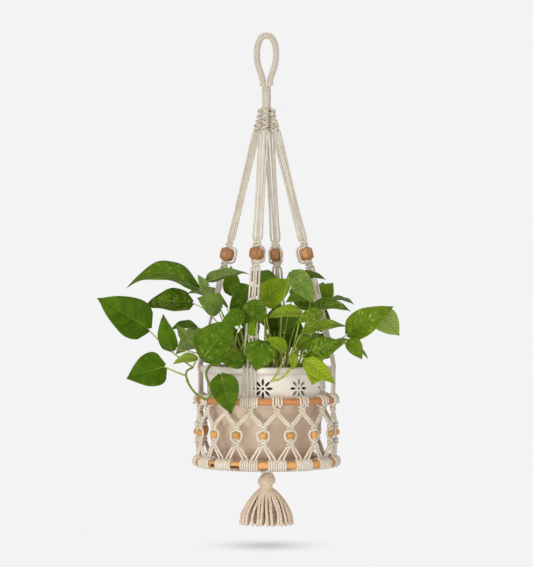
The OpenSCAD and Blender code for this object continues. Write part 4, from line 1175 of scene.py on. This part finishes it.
# How light each leaf is, how cream-flecked, and how much of its pale underside it shows.
LOOKS = {
    "LEFT": [(0.3, 0.0, 0), (0.5, 0.3, 0), (0.25, 0.6, 0), (0.32, 0.1, 0), (0.32, 0.0, 0), (0.8, 0.4, 0.3),
             (0.28, 0.2, 0), (0.38, 0.4, 0), (0.5, 0.5, 0.8), (0.4, 0.3, 0), (0.65, 0.4, 0.8), (0.62, 0.2, 0),
             (0.5, 0.5, 0.9), (0.35, 0.5, 0.4), (0.28, 0.2, 0)],
    "FRONT": [(0.25, 0.4, 0), (0.4, 0.3, 0), (0.66, 0.2, 0), (0.24, 0.3, 0), (0.42, 0.4, 0), (0.78, 0.5, 0),
              (0.72, 0.5, 0), (0.78, 0.9, 0), (0.62, 0.8, 0), (0.45, 0.6, 0), (0.78, 0.6, 0.2),
              (0.84, 0.7, 0), (0.88, 0.8, 0)],
    "RIGHT": [(0.28, 0.3, 0), (0.45, 0.9, 0.45), (0.66, 0.4, 0), (0.3, 0.6, 0), (0.6, 0.9, 0), (0.6, 0.5, 0),
              (0.84, 0.5, 0.9), (0.6, 0.4, 0), (0.5, 0.8, 0)],
    "BACK": [(0.4, 0.2, 0), (0.34, 0.3, 0), (0.48, 0.4, 0), (0.4, 0.2, 0), (0.32, 0.0, 0), (0.5, 0.3, 0),
             (0.42, 0.5, 0), (0.56, 0.2, 0), (0.6, 0.3, 0), (0.3, 0.3, 0), (0.26, 0.2, 0), (0.4, 0.4, 0),
             (0.3, 0.5, 0), (0.42, 0.4, 0), (0.3, 0.3, 0)],
    "MIDDLE": [(0.4, 0.3, 0), (0.6, 0.5, 0), (0.35, 0.3, 0), (0.3, 0.2, 0), (0.45, 0.4, 0), (0.5, 0.4, 0),
               (0.4, 0.2, 0), (0.4, 0.2, 0), (0.45, 0.3, 0), (0.4, 0.2, 0), (0.7, 0.6, 0),
               (0.45, 0.4, 0), (0.35, 0.3, 0), (0.45, 0.3, 0)],
}
# A leaf's outline: share of its length, then share of its half width.
LEAF_OUTLINE = spline([(0, 0.3, 0), (0.015, 0.48, 0), (0.04, 0.66, 0), (0.08, 0.81, 0), (0.16, 0.94, 0),
                       (0.25, 1, 0), (0.35, 0.99, 0), (0.45, 0.93, 0), (0.55, 0.83, 0), (0.65, 0.69, 0),
                       (0.75, 0.52, 0), (0.85, 0.32, 0), (0.93, 0.14, 0), (1, 0.015, 0)], 0.01)
LEAF_FOLD = 0.24
LEAF_THICK = 0.55
STALK_R = 1.45
FRONT_STALK_R = 1.8


def unit(v):
    v = np.asarray(v, float)
    return v / np.linalg.norm(v)


def leaf_frame(spec):
    """A leaf's base, the way to its tip, its upper face's normal and its side."""
    base, tip = np.array(spec[0], float), np.array(spec[1], float)
    a = unit(tip - base)
    up = np.array(spec[3], float)
    n = unit(up - (up @ a) * a)
    return base, tip - base, n, np.cross(a, n)


def add_leaf(shape, spec, look, seed):
    base, along, n, side = leaf_frame(spec)
    rows, columns = 34, 18
    length = np.linalg.norm(along)
    t = np.linspace(0, 1, rows)[:, None] ** 1.1
    v = np.linspace(-1, 1, columns + 1)[None, :]
    share = np.interp(t, LEAF_OUTLINE[:, 0], LEAF_OUTLINE[:, 1])
    half = share * spec[2] / 2
    lobes = -0.055 * length * np.sin(math.pi * np.abs(v) ** 0.8) * (1 - t) ** 6
    arch = 4 * spec[4] * t * (1 - t)
    wave = (0.028 * spec[2] * np.abs(v) ** 2.5 * np.sin(TAU * (2.1 * t + 0.37 * seed + 0.25 * np.sign(v)))
            * np.minimum(1, 6 * t * (1 - t)))
    quilt = 0.22 * np.cos(TAU * 9 * (t - 0.2 * np.abs(v))) * np.abs(v) * (1 - np.abs(v)) * 3
    curl = LEAF_FOLD * half * (1.15 * np.abs(v) - 0.15 * v ** 4)
    drop = -0.05 * length * t ** 6
    lift = arch + curl + wave + quilt * 0.5 + drop
    middle = (base + t[..., None] * along + (lobes / length)[..., None] * along
              + (v * half)[..., None] * side + lift[..., None] * n)
    middle = middle.reshape(-1, 3)
    thin = (LEAF_THICK * (1 - 0.75 * np.abs(v) ** 3) * np.ones_like(t)).reshape(-1)
    m, k = rows, columns + 1
    top = middle + (thin / 2)[:, None] * n
    under = middle - (thin / 2)[:, None] * n
    faces = []
    for i in range(m - 1):
        for j in range(k - 1):
            a, b, c, d = i * k + j, i * k + j + 1, (i + 1) * k + j + 1, (i + 1) * k + j
            faces.append((a, b, c, d))
            faces.append((m * k + d, m * k + c, m * k + b, m * k + a))
    edge = ([j for j in range(k)] + [i * k + k - 1 for i in range(1, m)]
            + [(m - 1) * k + j for j in range(k - 2, -1, -1)] + [i * k for i in range(m - 2, 0, -1)])
    for a, b in zip(edge, edge[1:] + edge[:1]):
        faces.append((a, m * k + a, m * k + b, b))
    tone, cream, pale = look
    flat = (np.broadcast_to(t, (m, k)).reshape(-1), np.broadcast_to(v, (m, k)).reshape(-1))
    shape.add(np.vstack([top, under]), faces, leaf_t=np.tile(flat[0], 2), leaf_v=np.tile(np.abs(flat[1]), 2),
              tone=tone, cream=cream, seed=seed, under=np.concatenate([np.full(m * k, pale), np.ones(m * k)]))


def stem(shape, points, start_r, end_r, tone, step=2.0, sides=10, swell=()):
    """A smooth tapering green stalk, with a swelling at each of the given shares of its length."""
    path = spline(points, step)
    _, u, w = frames(path)
    share = np.linspace(0, 1, len(path))
    r = start_r + (end_r - start_r) * share
    for at in swell:
        r = r + 0.7 * np.exp(-((share - at) / 0.012) ** 2)
    turn = np.arange(sides) / sides * TAU
    around = np.cos(turn)[None, :, None] * u[:, None, :] + np.sin(turn)[None, :, None] * w[:, None, :]
    rings = path[:, None, :] + r[:, None, None] * around
    before = shape.count
    emit(shape, rings, np.zeros(rings.shape[:2]))
    shape.values.setdefault("tone", []).append((before, np.full(rings.shape[0] * rings.shape[1], tone)))


SHOOTS = 30
shoots = np.random.default_rng(11)


def make_plant():
    groups = {"LEFT": LEFT, "FRONT": FRONT, "RIGHT": RIGHT, "BACK": BACK, "MIDDLE": MIDDLE}
    stems = Shape()
    # Stalks that start outside the pot grow from the nearest point of the vine or the drooping stalk.
    climbers = np.vstack([spline(VINE, 1.0), spline(DROOP, 1.0)])
    seed = 0
    for name, specs in groups.items():
        leaves = Shape()
        for spec, look in zip(specs, LOOKS[name]):
            seed += 1
            add_leaf(leaves, spec, look, seed)
            base, along, n, _ = leaf_frame(spec)
            root, bend = np.array(spec[5], float), np.array(spec[6], float)
            if math.hypot(root[0], root[1]) > 90:
                root = climbers[np.argmin(np.linalg.norm(climbers - root, axis=1))]
            curve = [(1 - t) ** 2 * root + 2 * t * (1 - t) * bend + t * t * base
                     for t in (0, 0.25, 0.5, 0.75, 0.93)]
            rib = [base + t * along + (4 * spec[4] * t * (1 - t) - 0.35) * n for t in (0.02, 0.2, 0.45, 0.7)]
            radius, lighter = (FRONT_STALK_R, 0.6) if name == "FRONT" else (STALK_R, 0.4)
            stem(stems, curve + rib, radius, 0.3, min(1.0, look[0] + lighter), step=3.0, sides=8)
        node = f"leaves_{name.lower()}"
        replace_node(node, leaves, f"pothos_{node}", LEAF, "pot")
    stem(stems, VINE, 2.1, 1.5, 0.25, swell=(0.3, 0.52, 0.66, 0.86))
    stem(stems, DROOP, 2.2, 1.6, 0.95, swell=(0.5, 0.9))
    # Young shoots that come up between the stalks and end in a rolled leaf.
    for i in range(SHOOTS):
        a = TAU * (i * 0.382 + 0.03)
        r = 12 + 46 * math.sqrt((i + 0.5) / SHOOTS)
        reach = 18 + 34 * shoots.random()
        foot = np.array([r * math.cos(a), r * math.sin(a) + 4, SOIL_HIGH[2] - 1])
        outward = np.array([math.cos(a), math.sin(a), 0.0])
        lean = outward * reach * 0.16 + np.append(shoots.uniform(-3, 3, 2), 0)
        line = [foot, foot + 0.35 * lean + (0, 0, 0.45 * reach), foot + lean + (0, 0, reach)]
        stem(stems, line, 1.5, 1.0, 0.55 + 0.4 * shoots.random(), step=3.0, sides=8)
        top = line[-1]
        rolled = [top - (0, 0, 1), top + 0.3 * lean + (0, 0, 6), top + 0.5 * lean + (0, 0, 13)]
        stem(stems, rolled, 1.9, 0.25, 0.35, step=2.0, sides=8)
    replace_node("stems", stems, "pothos_stems", STALK, "pot")


# ---- floor, backdrop and lights ----

FLOOR_Z = -0.76
DOME_R = 12.0
PAPER = 243
# Each light: its name, place in metres, size and power. All of them face the planter at this height.
AIM_Z = -0.45
LIGHTS = (("key", (-2.0, -2.1, 0.1), 1.0, 24), ("fill", (2.2, -2.6, -0.6), 2.2, 22),
          ("low", (-0.5, -2.6, -1.1), 1.2, 27), ("top", (0.1, -0.1, 1.6), 0.9, 6),
          ("back", (0.5, 3.0, 0.1), 2.4, 30))


def sheet(name, points, faces, material):
    mesh = bpy.data.meshes.new(name)
    mesh.from_pydata(points, [], faces)
    mesh.materials.append(material)
    obj = bpy.data.objects.new(name, mesh)
    bpy.context.scene.collection.objects.link(obj)


def glow(g, low, high):
    """An even light of its own, with a barely seen unevenness."""
    light = g.add("ShaderNodeEmission", {"Strength": 1.0})
    colour = g.mix(g.span(g.noise(0.6, detail=2), 0.3, 0.7), srgb(*low), srgb(*high))
    g.tree.links.new(colour, light.inputs["Color"])
    return light.outputs[0]


def make_stage():
    """A paper backdrop that lights nothing, a patch of floor that fades into it, and the lights."""
    paper = Graph("studio_paper", 0.9)
    tree = paper.tree
    output = next(n for n in tree.nodes if n.type == "OUTPUT_MATERIAL")
    tree.links.new(glow(paper, (PAPER,) * 3, (PAPER + 0.6,) * 3), output.inputs["Surface"])
    rows, columns = 13, 24
    dome = [(DOME_R * math.sin(math.pi * i / rows) * math.cos(TAU * j / columns),
             DOME_R * math.sin(math.pi * i / rows) * math.sin(TAU * j / columns),
             DOME_R * math.cos(math.pi * i / rows)) for i in range(rows + 1) for j in range(columns)]
    faces = [(i * columns + j, i * columns + (j + 1) % columns,
              (i + 1) * columns + (j + 1) % columns, (i + 1) * columns + j)
             for i in range(rows) for j in range(columns)]
    sheet("backdrop", dome, faces, paper.material)
    backdrop = bpy.data.objects["backdrop"]
    backdrop.visible_diffuse = backdrop.visible_glossy = backdrop.visible_shadow = False
    backdrop.visible_transmission = backdrop.visible_volume_scatter = False

    floor = Graph("studio_floor", 0.9, Specular_IOR_Level=0.0)
    tree = floor.tree
    output = next(n for n in tree.nodes if n.type == "OUTPUT_MATERIAL")
    floor.finish(floor.mix(floor.span(floor.noise(3.0), 0.3, 0.7), srgb(150, 150, 150), srgb(152, 152, 152)))
    shine = glow(floor, (176,) * 3, (177,) * 3)
    lit = floor.add("ShaderNodeAddShader", {0: floor.shader.outputs[0], 1: shine})
    radius = floor.add("ShaderNodeVectorMath", {0: floor.place()}, operation="LENGTH").outputs["Value"]
    clear = floor.add("ShaderNodeBsdfTransparent")
    near = floor.span(radius, 0.14, 0.0)
    fade = floor.add("ShaderNodeMixShader", {0: floor.times(near, near), 1: clear.outputs[0],
                                             2: lit.outputs[0]})
    tree.links.new(fade.outputs[0], output.inputs["Surface"])
    ring = [(0.4 * math.cos(a), 0.4 * math.sin(a), 0.0) for a in np.linspace(0, TAU, 48, endpoint=False)]
    sheet("floor", ring, [tuple(range(48))], floor.material)
    bpy.data.objects["floor"].location = (0, 0, FLOOR_Z)

    world = bpy.data.worlds.new("studio")
    world.use_nodes = True
    world.node_tree.nodes["Background"].inputs["Color"].default_value = (1.0, 0.985, 0.96, 1)
    world.node_tree.nodes["Background"].inputs["Strength"].default_value = 0.44
    bpy.context.scene.world = world
    for name, place, size, power in LIGHTS:
        data = bpy.data.lights.new(name, "AREA")
        data.size, data.energy = size, power
        light = bpy.data.objects.new(name, data)
        light.location = place
        toward = Vector((-place[0], -place[1], AIM_Z - place[2]))
        light.rotation_euler = toward.to_track_quat("-Z", "Y").to_euler()
        bpy.context.scene.collection.objects.link(light)


# ---- the whole planter ----

bpy.context.scene.view_settings.view_transform = "Standard"
make_camera()
make_loop()
make_neck()
make_crown()
for k in range(1, STRAPS + 1):
    make_strap(k)
make_ring("upper_ring", UPPER_R, UPPER_CANE, UPPER_Z, CANE_AMBER, [], 172)
make_ring("lower_ring", LOWER_R, LOWER_CANE, LOWER_Z, CANE_GOLDEN,
          [(-25.5, 4.6, 1.55, 2.75), (-47.2, 3.4, 1.3, 2.6)], 141)
make_net()
make_strap_beads()
make_net_beads()
make_tassel()
make_soil()
keep("pot", GLAZE)
keep("saucer", GLAZE)
keep("grow_pot", PLASTIC)
make_plant()
make_stage()
